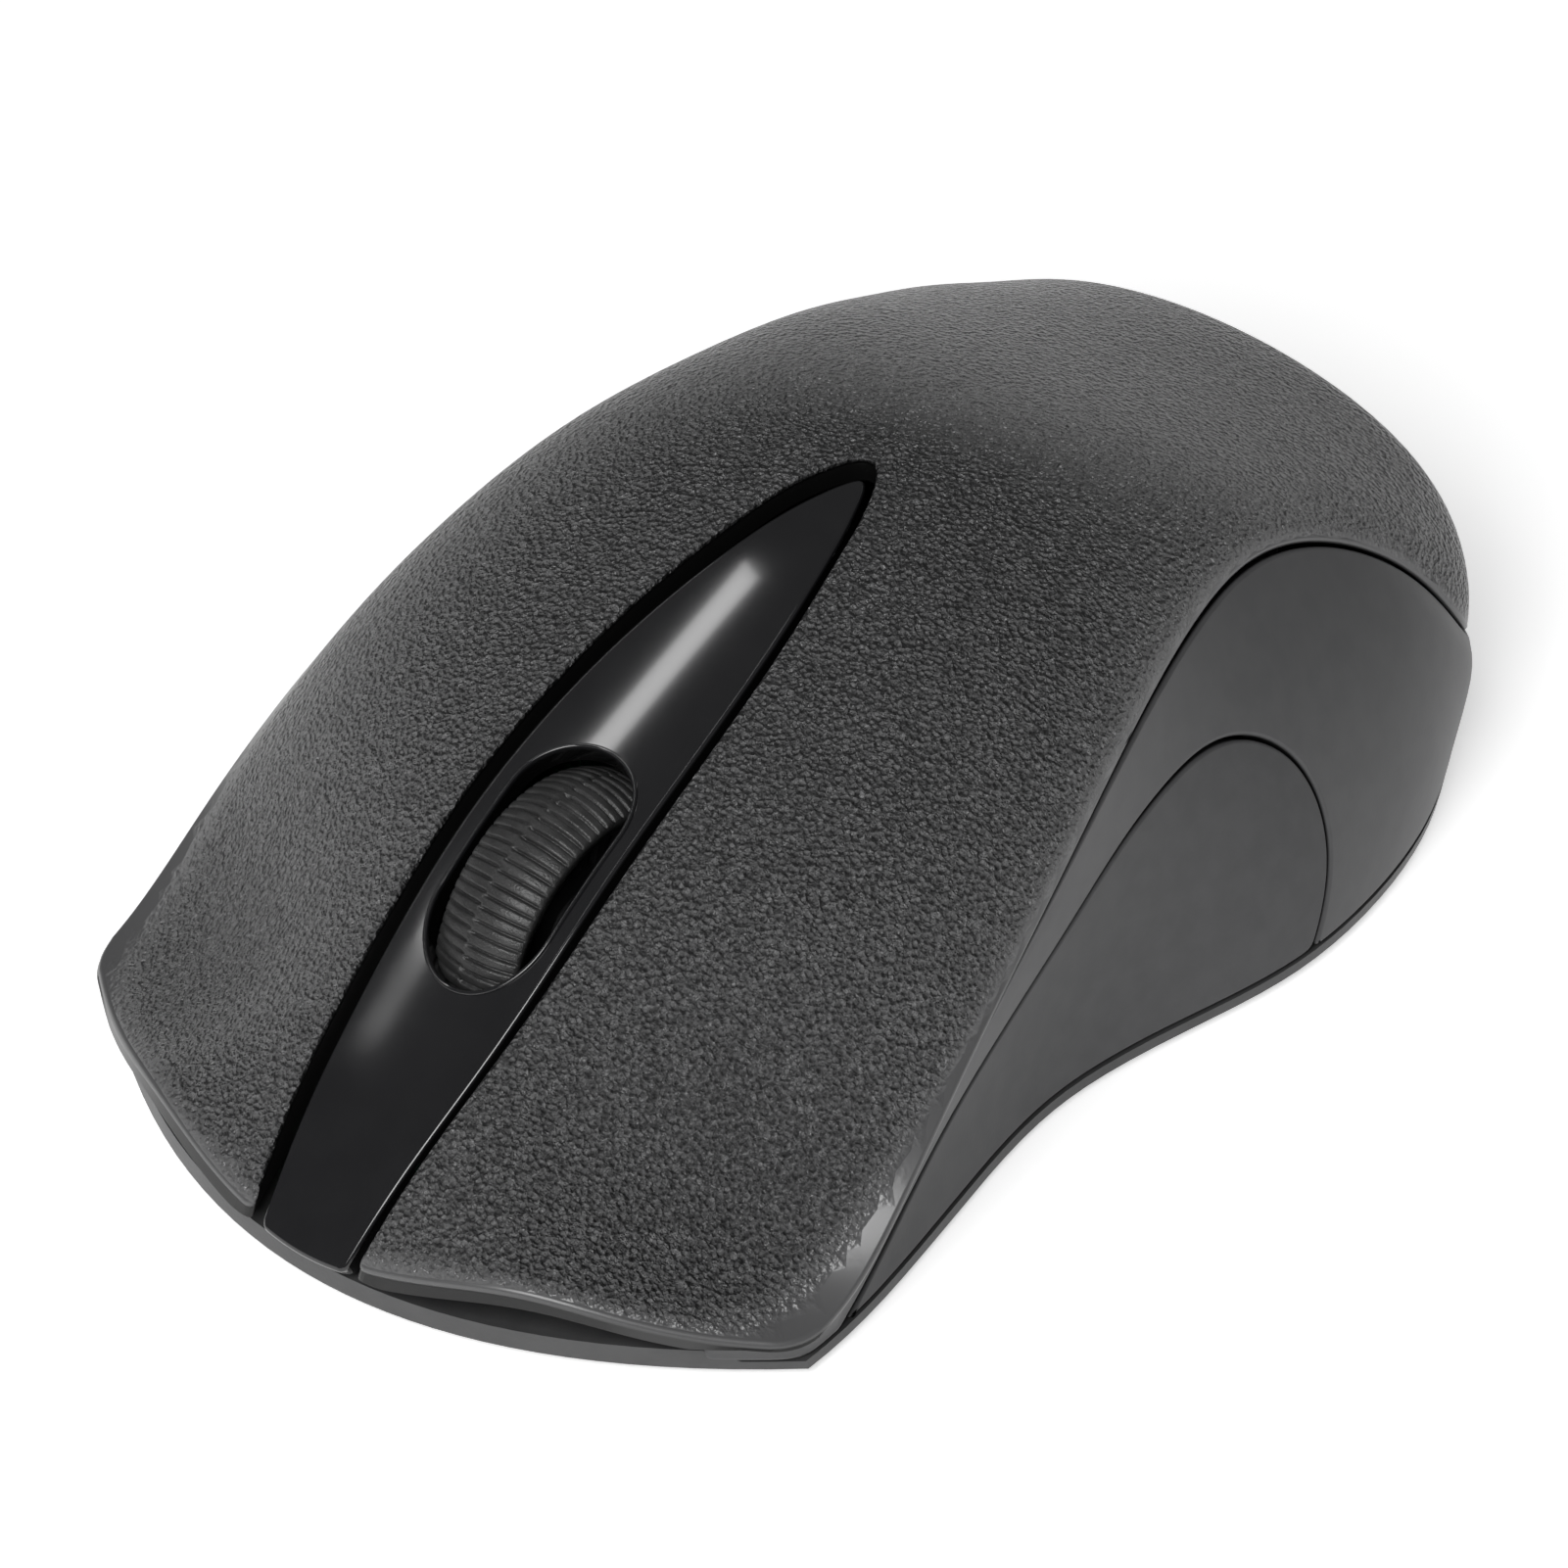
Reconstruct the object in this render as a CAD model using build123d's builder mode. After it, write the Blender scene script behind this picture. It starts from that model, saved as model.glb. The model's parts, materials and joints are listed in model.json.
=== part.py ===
from build123d import *
from collections import namedtuple
import os

# Wireless computer mouse. Millimetres. +Z up, nose at -Y, tail at +Y, the thumb side at +X.
# The origin is on the desk, under the middle of the mouse.

os.makedirs("parts", exist_ok=True)

# ---------------------------------------------------------------- driving dimensions
LENGTH = 105.0
HALF_LENGTH = LENGTH / 2
TOP_Z = 60.0               # above everything, for cutting tools

PLATE_Z = 0.6              # underside of the bottom plate, clear of the desk
PLATE_RIM_Z = 1.3          # top of the thin rim that shows below the side walls
WALL_Z = 1.45              # lower edge of the side walls
FLOOR_Z = 2.2              # inside floor
SHELL = 2.0                # wall thickness
GRIP_DEPTH = 1.0           # thickness of the side grips, let into the wall

FLEX_Y = 5.0               # line where the two buttons bend from the palm cover
FLEX_GAP = 0.05
SEAM_GAP = 0.25            # dark line between top cover and side frame
SEAM_GAP_NOSE = 0.85       # the same at the nose, where the buttons travel
NOSE_CURVE = 0.01365       # plan curvature of the nose, y = -HALF_LENGTH + NOSE_CURVE * x^2
FRAME_SETBACK = 1.0        # the side frame wraps round the corners this far behind the nose
FRONT_SETBACK = 1.3        # the bottom plate's front strip stands this far behind the nose
STRIP_TOP_Z = 2.25        # just under the tip of the spine
STRIP_HALF = 27.0          # half-width of the front strip, between the frame's corners

GROOVE_TIP_Y = 9.5         # rear tip of the opening for the centre spine
SPINE_GAP = 0.9            # black gap around the spine
SPINE_SINK = 0.35          # spine edge below the cover surface
SPINE_DISH = 0.45          # hollow across the spine
SPINE_HALF = 7.5           # half-width over which the hollow is measured
SPINE_THICK = 1.8
SLOT_Y = -27.5             # middle of the wheel slot
SLOT_LENGTH = 16.9
SLOT_WIDTH = 9.4
SLOT_LIP = 0.55            # width of the raised lip round the slot
SLOT_LIP_HEIGHT = 0.3

WHEEL_R = 11.4
WHEEL_Y = -23.6
WHEEL_Z = 14.1
TYRE_SEAT_R = 9.6
TYRE_HALF = 3.5
AXLE_R = 1.2
RUNNING = 0.05             # radial running clearance

BOARD_Z = 4.6
BOARD_THICK = 1.2
BOARD_TOP = BOARD_Z + BOARD_THICK

SWITCH_X = 12.5
SWITCH_Y = -27.0
SWITCH_HEIGHT = 6.5
PLUNGER_Y = SWITCH_Y - 3.0
PLUNGER_TOP = BOARD_TOP + SWITCH_HEIGHT + 0.9

PIVOT_Y = -10.5            # rear pivot of the wheel cradle
PIVOT_Z = 10.0
NOSE_BAR_Y = -38.0         # front crossbar of the wheel cradle
NOSE_BAR_Z = 11.3
ARM_X = 4.6                # inner face of the cradle's arms
ARM_THICK = 1.2

CELL_R = 5.25              # AAA cell
CELL_LENGTH = 44.5
CELL_Z = 7.85
CELL_PITCH = 11.0
CELL_Y = 17.2              # front cell

SCREW_POINTS = [(-20, 7.6), (20, 7.6), (0, 46.4)]


def save(builder, name):
    """Label a finished piece and write it as its own STEP file."""
    builder.part.label = name
    export_step(builder.part, f"parts/{name}.step")


# ---------------------------------------------------------------- body sections
# One row per cross-section, nose to tail. crown: height on the centre line. seam: where the top
# cover meets the side. base: half-width at the bottom. reach and rise: direction in which the top
# curve leaves the seam. flat: breadth of the crown. tuck and flare: lean of the wall at its top
# and at its foot.
Station = namedtuple("Station", "y crown seam_x seam_z base_x reach rise flat tuck flare")
STATIONS = [
    Station(-52.5, 5.0, 28.0, 3.9, 28.3, -2.50, 0.15, 0.35, -0.35, 0.00),
    Station(-46.0, 11.3, 31.0, 3.5, 31.0, -2.10, 0.22, 0.40, -0.35, -0.03),
    Station(-40.0, 16.2, 32.4, 3.3, 32.1, -1.70, 0.30, 0.45, -0.35, -0.04),
    Station(-34.0, 20.2, 32.9, 4.5, 32.3, -1.25, 0.38, 0.49, -0.32, -0.05),
    Station(-26.0, 24.7, 32.5, 9.8, 31.5, -0.75, 0.48, 0.55, -0.27, -0.06),
    Station(-16.0, 28.8, 31.2, 16.6, 29.8, -0.35, 0.57, 0.60, -0.17, -0.07),
    Station(-5.0, 32.2, 29.1, 22.1, 28.7, -0.18, 0.61, 0.61, -0.03, -0.08),
    Station(6.0, 34.6, 26.4, 26.1, 30.5, -0.15, 0.60, 0.61, 0.10, -0.07),
    Station(16.0, 34.7, 23.7, 27.7, 32.7, -0.20, 0.57, 0.62, 0.20, -0.04),
    Station(26.0, 32.2, 22.0, 27.1, 32.6, -0.28, 0.56, 0.68, 0.26, -0.01),
    Station(35.0, 28.8, 22.8, 23.0, 30.5, -0.32, 0.54, 0.67, 0.28, 0.04),
    Station(42.0, 26.1, 25.0, 15.9, 27.2, -0.10, 0.61, 0.74, 0.25, 0.09),
    Station(47.0, 24.2, 24.9, 8.8, 23.2, 0.07, 0.69, 0.79, 0.18, 0.16),
    Station(50.5, 22.7, 19.7, 8.2, 16.2, 0.32, 0.78, 0.86, 0.04, 0.26),
    Station(51.9, 21.2, 12.5, 8.8, 9.5, 0.50, 0.80, 0.90, -0.07, 0.32),
    Station(52.5, 17.5, 6.4, 9.3, 4.8, 0.50, 0.80, 0.90, -0.07, 0.32),
]
WALL_PULL = 0.35           # length of the wall curve's end tangents


def top_points(s):
    """Control points of the top curve, from seam to seam."""
    height = s.crown - s.seam_z
    shoulder = 1.6 * s.crown - 0.6 * s.seam_z - 0.5 * s.rise * height
    half = [
        (s.seam_x, s.seam_z),
        (s.seam_x + s.reach * height, s.seam_z + s.rise * height),
        (s.flat * s.seam_x, shoulder),
    ]
    return [(-x, z) for x, z in half] + half[::-1]


def wall_points(s, floor, side):
    """Control points of the side wall, from the seam to the floor."""
    drop = s.seam_z - floor
    points = [
        (s.seam_x, s.seam_z),
        (s.seam_x + s.tuck * drop, s.seam_z - WALL_PULL * drop),
        (s.base_x + s.flare * drop, floor + WALL_PULL * drop),
        (s.base_x, floor),
    ]
    return [(side * x, z) for x, z in points]


def inset(s, depth):
    """The same cross-section moved inward, for the inside of a wall of that thickness."""
    height = s.crown - s.seam_z
    drop = s.seam_z - PLATE_Z
    top_normal = Vector(-s.rise * height, s.reach * height).normalized()
    wall_normal = Vector(-WALL_PULL * drop, -s.tuck * drop).normalized()
    inward = (top_normal + wall_normal).normalized()
    shift = inward * (depth / inward.dot(top_normal))
    pull = depth * max(0.0, s.y / HALF_LENGTH)
    return s._replace(
        y=s.y - pull,
        crown=s.crown - depth,
        seam_x=s.seam_x + shift.X,
        seam_z=max(s.seam_z + shift.Y, FLOOR_Z + 0.35),
        base_x=s.base_x - depth,
    )


def cross_section(s, floor, top=True, walls=True):
    """Closed face of one cross-section: the part above the seam, the part below, or both."""
    with BuildSketch(Plane.XZ.offset(-s.y)) as section:
        with BuildLine():
            if top:
                Bezier(*top_points(s))
            else:
                Line((-s.seam_x, s.seam_z), (s.seam_x, s.seam_z))
            if walls:
                Bezier(*wall_points(s, floor, 1))
                Line((s.base_x, floor), (-s.base_x, floor))
                Bezier(*wall_points(s, floor, -1)[::-1])
            else:
                Line((s.seam_x, s.seam_z), (-s.seam_x, s.seam_z))
        make_face()
    return section.sketch


def body_loft(stations, floor, top=True, walls=True):
    """Smooth solid through the cross-sections."""
    sections = [cross_section(s, floor, top, walls) for s in stations]
    with BuildPart() as body:
        loft(sections=sections)
    return body.part


def behind_nose(setback):
    """Tall block behind the curved nose line, moved back by the setback."""
    side = 45.0
    nose_y = setback - HALF_LENGTH
    side_y = nose_y + NOSE_CURVE * side**2
    with BuildPart() as block:
        with BuildSketch(Plane.XY.offset(-5)):
            with BuildLine():
                Bezier((-side, side_y), (0, 2 * nose_y - side_y), (side, side_y))
                Polyline((side, side_y), (side, TOP_Z), (-side, TOP_Z), (-side, side_y))
            make_face()
        extrude(amount=TOP_Z)
    return block.part


def seam_gap(y):
    """Height of the gap under the top cover: wider towards the nose, where the buttons travel."""
    forward = max(0.0, (FLEX_Y - y) / (FLEX_Y + HALF_LENGTH))
    return SEAM_GAP + (SEAM_GAP_NOSE - SEAM_GAP) * forward


def above_frame():
    """Everything above the side frame's upper edge."""
    half = 45.0
    sections = []
    for s in STATIONS:
        low = s.seam_z - seam_gap(s.y)
        with BuildSketch(Plane.XZ.offset(-s.y)) as section:
            with Locations((0, (low + TOP_Z) / 2)):
                Rectangle(2 * half, TOP_Z - low)
        sections.append(section.sketch)
    with BuildPart() as block:
        loft(sections=sections)
        extrude(faces().sort_by(Axis.Y)[-1], amount=5)
    return block.part


def shifted(points, distance):
    """An open line of points moved square to itself, to the left of its travel."""
    moved = []
    for i, (x, y) in enumerate(points):
        back = Vector(points[max(i - 1, 0)])
        ahead = Vector(points[min(i + 1, len(points) - 1)])
        run = (ahead - back).normalized()
        moved.append((x - distance * run.Y, y + distance * run.X))
    return moved


def groove_outline(gap=0):
    """Plan outline of the opening for the centre spine, a long leaf with its tip at the rear."""
    edge = [
        (4.4, -54.0), (6.2, -43.0), (7.05, -34.0), (7.15, -24.5), (6.65, -15.0), (5.5, -6.0),
        (3.9, 1.6), (2.3, 6.6), (0, GROOVE_TIP_Y),
    ]
    right = shifted(edge, gap)[:-1] + [(0, GROOVE_TIP_Y - gap)]
    left = [(-x, y) for x, y in right]
    with BuildSketch() as outline:
        with BuildLine():
            Spline(*right, tangents=[(0.3, 1), (-1, 0)])
            Spline(*left, tangents=[(-0.3, 1), (1, 0)])
            Line(right[0], left[0])
        make_face()
    return outline.sketch


upper_body = body_loft(STATIONS, PLATE_Z, walls=False)
lower_body = body_loft(STATIONS, PLATE_Z, top=False)
cavity = body_loft([inset(s, SHELL) for s in STATIONS], 0)
inside_grips = body_loft([inset(s, GRIP_DEPTH) for s in STATIONS], PLATE_Z)
frame_top = above_frame()
nose_block = behind_nose(0)
cavity_block = behind_nose(SHELL)


# ---------------------------------------------------------------- top cover, in three pieces
def cover_shell():
    """The whole top cover: outer skin less the inside, cut to the nose line."""
    with BuildPart() as cover:
        add(upper_body)
        add(nose_block, mode=Mode.INTERSECT)
        with BuildPart(mode=Mode.PRIVATE) as inside:
            add(cavity)
            add(cavity_block, mode=Mode.INTERSECT)
        add(inside.part, mode=Mode.SUBTRACT)
        with BuildSketch():
            add(groove_outline())
        extrude(amount=TOP_Z, mode=Mode.SUBTRACT)
    return cover.part


def region(low, high):
    """A box from its low corner to its high corner, for trimming."""
    with BuildPart() as box:
        with Locations([(Vector(low) + Vector(high)) * 0.5]):
            Box(*(Vector(high) - Vector(low)))
    return box.part


cover = cover_shell()

BOSS_R = 2.3
BOSS_FOOT_Z = 8.1
SCREW_HOLE_R = 1.0

with BuildPart() as palm_cover:
    add(cover)
    add(region((-45, FLEX_Y, -5), (45, 60, TOP_Z)), mode=Mode.INTERSECT)
    with BuildPart(mode=Mode.PRIVATE) as bosses:
        for x, y in SCREW_POINTS:
            with BuildSketch(Plane.XY.offset(BOSS_FOOT_Z)):
                with Locations((x, y)):
                    Circle(BOSS_R)
                    Circle(SCREW_HOLE_R, mode=Mode.SUBTRACT)
        extrude(amount=TOP_Z)
        add(upper_body, mode=Mode.INTERSECT)
    add(bosses.part)
save(palm_cover, "palm_cover")


def button(side, name):
    """One of the two buttons: the cover in front of the flex line, with its switch post."""
    with BuildPart() as finger:
        add(cover)
        inner, outer = sorted((0, side * 45))
        add(region((inner, -60, -5), (outer, FLEX_Y - FLEX_GAP, TOP_Z)), mode=Mode.INTERSECT)
        with BuildPart(mode=Mode.PRIVATE) as post:
            with BuildSketch(Plane.XY.offset(PLUNGER_TOP + 0.02)):
                with Locations((side * SWITCH_X, PLUNGER_Y)):
                    RectangleRounded(3.6, 4.4, 0.6)
            extrude(amount=TOP_Z)
            add(upper_body, mode=Mode.INTERSECT)
        add(post.part)
    save(finger, name)


button(1, "left_button")
button(-1, "right_button")


# ---------------------------------------------------------------- centre spine
def bezier_point(points, t):
    """Point at t on the Bezier curve with these control points."""
    while len(points) > 1:
        points = [
            (a[0] + (b[0] - a[0]) * t, a[1] + (b[1] - a[1]) * t)
            for a, b in zip(points, points[1:])
        ]
    return points[0]


def cover_height(s, x):
    """Height of the cover's outer surface at x on one station, by halving the interval."""
    low, high = 0.5, 1.0
    for _ in range(30):
        middle = (low + high) / 2
        if bezier_point(top_points(s), middle)[0] < x:
            low = middle
        else:
            high = middle
    return bezier_point(top_points(s), low)[1]


def spine_layer(raise_by, thickness):
    """A hollowed strip that follows the cover's centre line."""
    sections = []
    for s in STATIONS[:9]:
        edge_z = cover_height(s, SPINE_HALF) - SPINE_SINK + raise_by
        middle_z = edge_z - SPINE_DISH
        with BuildSketch(Plane.XZ.offset(-s.y)) as section:
            with BuildLine():
                ThreePointArc((-SPINE_HALF, edge_z), (0, middle_z), (SPINE_HALF, edge_z))
                Line((SPINE_HALF, edge_z), (SPINE_HALF, edge_z - thickness))
                ThreePointArc(
                    (SPINE_HALF, edge_z - thickness),
                    (0, middle_z - thickness),
                    (-SPINE_HALF, edge_z - thickness),
                )
                Line((-SPINE_HALF, edge_z - thickness), (-SPINE_HALF, edge_z))
            make_face()
        sections.append(section.sketch)
    with BuildPart() as layer:
        loft(sections=sections)
    return layer.part


SPINE_LEG_Y = -45.0
SPINE_LEG_TOP = 9.2
spine_strip = spine_layer(0, SPINE_THICK)
lip_strip = spine_layer(SLOT_LIP_HEIGHT, SPINE_THICK)

with BuildPart() as centre_spine:
    add(spine_strip)
    with BuildPart(mode=Mode.PRIVATE) as leaf:
        with BuildSketch():
            add(groove_outline(SPINE_GAP))
        extrude(amount=TOP_Z)
        add(nose_block, mode=Mode.INTERSECT)
    add(leaf.part, mode=Mode.INTERSECT)
    with BuildPart(mode=Mode.PRIVATE) as lip:
        with BuildSketch():
            with Locations((0, SLOT_Y)):
                SlotOverall(SLOT_LENGTH + 2 * SLOT_LIP, SLOT_WIDTH + 2 * SLOT_LIP, rotation=90)
        extrude(amount=TOP_Z)
        add(lip_strip, mode=Mode.INTERSECT)
    add(lip.part)
    with BuildSketch(Plane.XY.offset(FLOOR_Z)):
        with Locations((-3, SPINE_LEG_Y), (3, SPINE_LEG_Y)):
            Circle(1.2)
    extrude(amount=SPINE_LEG_TOP - FLOOR_Z)
    with Locations((0, 8.0, 31.8)):
        Box(3.2, 7.0, 1.2)
    with BuildSketch():
        with Locations((0, SLOT_Y)):
            SlotOverall(SLOT_LENGTH, SLOT_WIDTH, rotation=90)
    extrude(amount=TOP_Z, mode=Mode.SUBTRACT)
    with BuildSketch(Plane.YZ.offset(-TYRE_HALF - 0.4)):
        with Locations((WHEEL_Y, WHEEL_Z)):
            Circle(WHEEL_R + 0.4)
    extrude(amount=2 * TYRE_HALF + 0.8, mode=Mode.SUBTRACT)
save(centre_spine, "centre_spine")


# ---------------------------------------------------------------- side frame and grips
def grip_outline(clearance):
    """Side view of a grip: a fin that rises from the front corner and drops behind the thumb."""
    edge = [
        (-38.0, -1.0), (-30.4, 2.7), (-24.8, 5.3), (-18.5, 8.3), (-11.6, 11.3), (-4.5, 15.1),
        (1.6, 18.5), (8.4, 20.5), (14.6, 20.3), (20.6, 15.7), (21.6, 8.5), (17.0, -1.0),
    ]
    with BuildSketch() as outline:
        with BuildLine():
            fin = Spline(*shifted(edge, clearance))
            Line(fin @ 1, fin @ 0)
        make_face()
    return outline.sketch


def grip_prism(side, clearance):
    """Block through one side wall with the outline of its grip."""
    with BuildPart() as prism:
        with BuildSketch(Plane.YZ):
            add(grip_outline(clearance))
        extrude(amount=side * 45)
        add(region((min(0, side * 45), -60, WALL_Z + 0.1 - clearance), (max(0, side * 45), 60, 40)),
            mode=Mode.INTERSECT)
    return prism.part


GRIP_GAP = 0.15
grip_layer = lower_body - inside_grips
with BuildPart() as side_frame:
    add(lower_body)
    add(behind_nose(FRAME_SETBACK), mode=Mode.INTERSECT)
    add(cavity, mode=Mode.SUBTRACT)
    add(frame_top, mode=Mode.SUBTRACT)
    add(region((-45, -60, WALL_Z), (45, 60, TOP_Z)), mode=Mode.INTERSECT)
    add(region((-STRIP_HALF, -60, -5), (STRIP_HALF, -30, TOP_Z)), mode=Mode.SUBTRACT)
    for side in (1, -1):
        add(grip_layer & grip_prism(side, GRIP_GAP), mode=Mode.SUBTRACT)
save(side_frame, "side_frame")

for side, name in ((1, "left_side_grip"), (-1, "right_side_grip")):
    with BuildPart() as grip:
        add(grip_layer & grip_prism(side, 0))
        add(behind_nose(FRAME_SETBACK), mode=Mode.INTERSECT)
        add(frame_top, mode=Mode.SUBTRACT)
    save(grip, name)


# ---------------------------------------------------------------- bottom plate
DOOR_THICK = 1.2
DOOR_GAP = 0.2
DOOR_HINGE_Y = 11.0
DOOR_HINGE_Z = PLATE_Z + DOOR_THICK / 2
DOOR_LUG_R = 0.55
DOOR_LUG_X = 15.0
DOOR_LUG_LENGTH = 6.0
SENSOR_Y = -1.0
SWITCH_SLIDE = 2.0
SLIDER_X = 17.0
SLIDER_Y = -4.0
KNOB = (5.6, 4.0)
GLIDE_TOP = 0.9
FRONT_GLIDE = (0, -44.0)
REAR_GLIDES = [(-20.0, 42.5), (20.0, 42.5)]
LABEL_Y = -26.0
LABEL_TOP = PLATE_Z + 0.15
BOARD_SCREWS = [(-17.0, -34.9), (17.0, -34.9), (-20.0, 1.5), (20.0, 1.5)]
PIVOT_POST_X = 7.6


def door_outline(shrink):
    """Plan of the battery door: wide over the cells, narrower over the receiver bay."""
    with BuildSketch() as outline:
        with BuildLine():
            Polyline(
                (-24.6, 12.0), (24.6, 12.0), (24.6, 32.0), (11.0, 42.6), (-11.0, 42.6), (-24.6, 32.0),
                close=True,
            )
        make_face()
        fillet(outline.vertices(), radius=2.5)
        offset(amount=-shrink, mode=Mode.REPLACE)
    return outline.sketch


def glide_sketch(clearance):
    """Plan of the three glide pads."""
    with BuildSketch() as pads:
        with Locations(FRONT_GLIDE):
            SlotOverall(30 + 2 * clearance, 5.5 + 2 * clearance)
        with Locations(*REAR_GLIDES):
            RectangleRounded(7.5 + 2 * clearance, 5 + 2 * clearance, 2)
    return pads.sketch


with BuildPart() as bottom_plate:
    add(lower_body)
    add(region((-45, -60, PLATE_Z), (45, 60, PLATE_RIM_Z)), mode=Mode.INTERSECT)
    with BuildPart(mode=Mode.PRIVATE) as inner_floor:
        add(cavity)
        add(region((-45, -60, PLATE_RIM_Z - 0.2), (45, 60, FLOOR_Z)), mode=Mode.INTERSECT)
    add(inner_floor.part)
    with BuildPart(mode=Mode.PRIVATE) as strip:
        add(lower_body)
        add(region((0.2 - STRIP_HALF, -60, PLATE_Z), (STRIP_HALF - 0.2, -30, STRIP_TOP_Z)),
            mode=Mode.INTERSECT)
    add(strip.part)
    add(behind_nose(FRONT_SETBACK), mode=Mode.INTERSECT)
    # raised features on the inside
    with BuildSketch(Plane.XY.offset(FLOOR_Z - 0.2)):
        with Locations(*SCREW_POINTS):
            Circle(2.6)
    extrude(amount=BOSS_FOOT_Z - 0.1 - FLOOR_Z + 0.2)
    with BuildSketch(Plane.XY.offset(FLOOR_Z - 0.2)):
        with Locations(*BOARD_SCREWS):
            Circle(1.8)
    extrude(amount=BOARD_Z - FLOOR_Z + 0.2)
    with BuildSketch(Plane.XY.offset(FLOOR_Z - 0.2)):
        with Locations((-PIVOT_POST_X, PIVOT_Y), (PIVOT_POST_X, PIVOT_Y)):
            Rectangle(2.0, 4.4)
    extrude(amount=PIVOT_Z + 2.2 - FLOOR_Z + 0.2)
    # holes and recesses
    with BuildSketch(Plane.YZ.offset(-10)):
        with Locations((PIVOT_Y, PIVOT_Z)):
            Circle(AXLE_R + RUNNING)
    extrude(amount=20, mode=Mode.SUBTRACT)
    with BuildSketch():
        add(door_outline(0))
        with Locations((-DOOR_LUG_X, DOOR_HINGE_Y), (DOOR_LUG_X, DOOR_HINGE_Y)):
            Rectangle(DOOR_LUG_LENGTH + 0.4, 2.4)
        with Locations((0, SENSOR_Y)):
            SlotOverall(8.0, 5.6)
        with Locations((SLIDER_X + SWITCH_SLIDE / 2, SLIDER_Y)):
            Rectangle(KNOB[0] + SWITCH_SLIDE + 0.3, KNOB[1] + 0.3)
    extrude(amount=FLOOR_Z + 0.1, mode=Mode.SUBTRACT)
    with BuildSketch():
        add(glide_sketch(0.1))
    extrude(amount=GLIDE_TOP, mode=Mode.SUBTRACT)
    with BuildSketch():
        with Locations((0, LABEL_Y)):
            RectangleRounded(30.4, 16.4, 1.7)
    extrude(amount=LABEL_TOP, mode=Mode.SUBTRACT)
    with BuildSketch():
        with Locations(*SCREW_POINTS):
            Circle(2.1)
    extrude(amount=3.0, mode=Mode.SUBTRACT)
    with BuildSketch():
        with Locations(*SCREW_POINTS):
            Circle(1.15)
    extrude(amount=BOSS_FOOT_Z, mode=Mode.SUBTRACT)
    with BuildSketch(Plane.XY.offset(FLOOR_Z + 0.4)):
        with Locations(*BOARD_SCREWS):
            Circle(0.8)
    extrude(amount=BOARD_Z, mode=Mode.SUBTRACT)
save(bottom_plate, "bottom_plate")

with BuildPart() as front_glide:
    with BuildSketch():
        with Locations(FRONT_GLIDE):
            SlotOverall(30, 5.5)
    extrude(amount=GLIDE_TOP)
    chamfer(front_glide.faces().sort_by(Axis.Z)[0].edges(), 0.2)
save(front_glide, "front_glide")

with BuildPart() as rear_glides:
    with BuildSketch():
        with Locations(*REAR_GLIDES):
            RectangleRounded(7.5, 5, 2)
    extrude(amount=GLIDE_TOP)
    chamfer(rear_glides.faces().group_by(Axis.Z)[0].edges(), 0.2)
save(rear_glides, "rear_glides")

with BuildPart() as blank_label:
    with BuildSketch(Plane.XY.offset(LABEL_TOP - 0.12)):
        with Locations((0, LABEL_Y)):
            RectangleRounded(30, 16, 1.5)
    extrude(amount=0.12)
save(blank_label, "blank_label")

with BuildPart() as battery_door:
    with BuildSketch(Plane.XY.offset(PLATE_Z)):
        add(door_outline(DOOR_GAP))
    extrude(amount=DOOR_THICK)
    with BuildSketch(Plane.XY.offset(PLATE_Z)):
        with Locations((0, 41.0)):
            SlotOverall(9, 1.6)
    extrude(amount=0.5, mode=Mode.SUBTRACT)
    for side in (-1, 1):
        low_x = side * DOOR_LUG_X - DOOR_LUG_LENGTH / 2
        with BuildSketch(Plane.YZ.offset(low_x)):
            with Locations((DOOR_HINGE_Y, DOOR_HINGE_Z)):
                Circle(DOOR_LUG_R)
            with Locations((DOOR_HINGE_Y + 0.8, DOOR_HINGE_Z)):
                Rectangle(1.6, 2 * DOOR_LUG_R)
        extrude(amount=DOOR_LUG_LENGTH)
save(battery_door, "battery_door")

with BuildPart() as case_screws:
    with BuildSketch(Plane.XY.offset(1.4)):
        with Locations(*SCREW_POINTS):
            Circle(1.95)
    extrude(amount=1.6)
    with BuildSketch(Plane.XY.offset(1.4)):
        with Locations(*SCREW_POINTS):
            Rectangle(2.6, 0.6)
            Rectangle(0.6, 2.6)
    extrude(amount=0.8, mode=Mode.SUBTRACT)
    with BuildSketch(Plane.XY.offset(3.0)):
        with Locations(*SCREW_POINTS):
            Circle(SCREW_HOLE_R - 0.02)
    extrude(amount=10.0)
save(case_screws, "case_screws")


# ---------------------------------------------------------------- circuit board and what it carries
with BuildPart() as circuit_board:
    with BuildSketch(Plane.XY.offset(BOARD_Z)):
        with BuildLine():
            Polyline(
                (-14, -43), (14, -43), (14, -37.2), (19, -37.2), (19, -30), (23, -30), (23, 4.5),
                (-23, 4.5), (-23, -30), (-19, -30), (-19, -37.2), (-14, -37.2),
                close=True,
            )
        make_face()
        with Locations((0, WHEEL_Y)):
            Rectangle(10.4, 17.2, mode=Mode.SUBTRACT)
        with Locations((0, SENSOR_Y)):
            Rectangle(5.4, 5.0, mode=Mode.SUBTRACT)
        with Locations((-PIVOT_POST_X, PIVOT_Y), (PIVOT_POST_X, PIVOT_Y)):
            Rectangle(2.4, 4.8, mode=Mode.SUBTRACT)
        with Locations(*BOARD_SCREWS):
            Circle(0.95, mode=Mode.SUBTRACT)
        with Locations((-3, SPINE_LEG_Y), (3, SPINE_LEG_Y)):
            Circle(1.4, mode=Mode.SUBTRACT)
    extrude(amount=BOARD_THICK)
save(circuit_board, "circuit_board")

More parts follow.
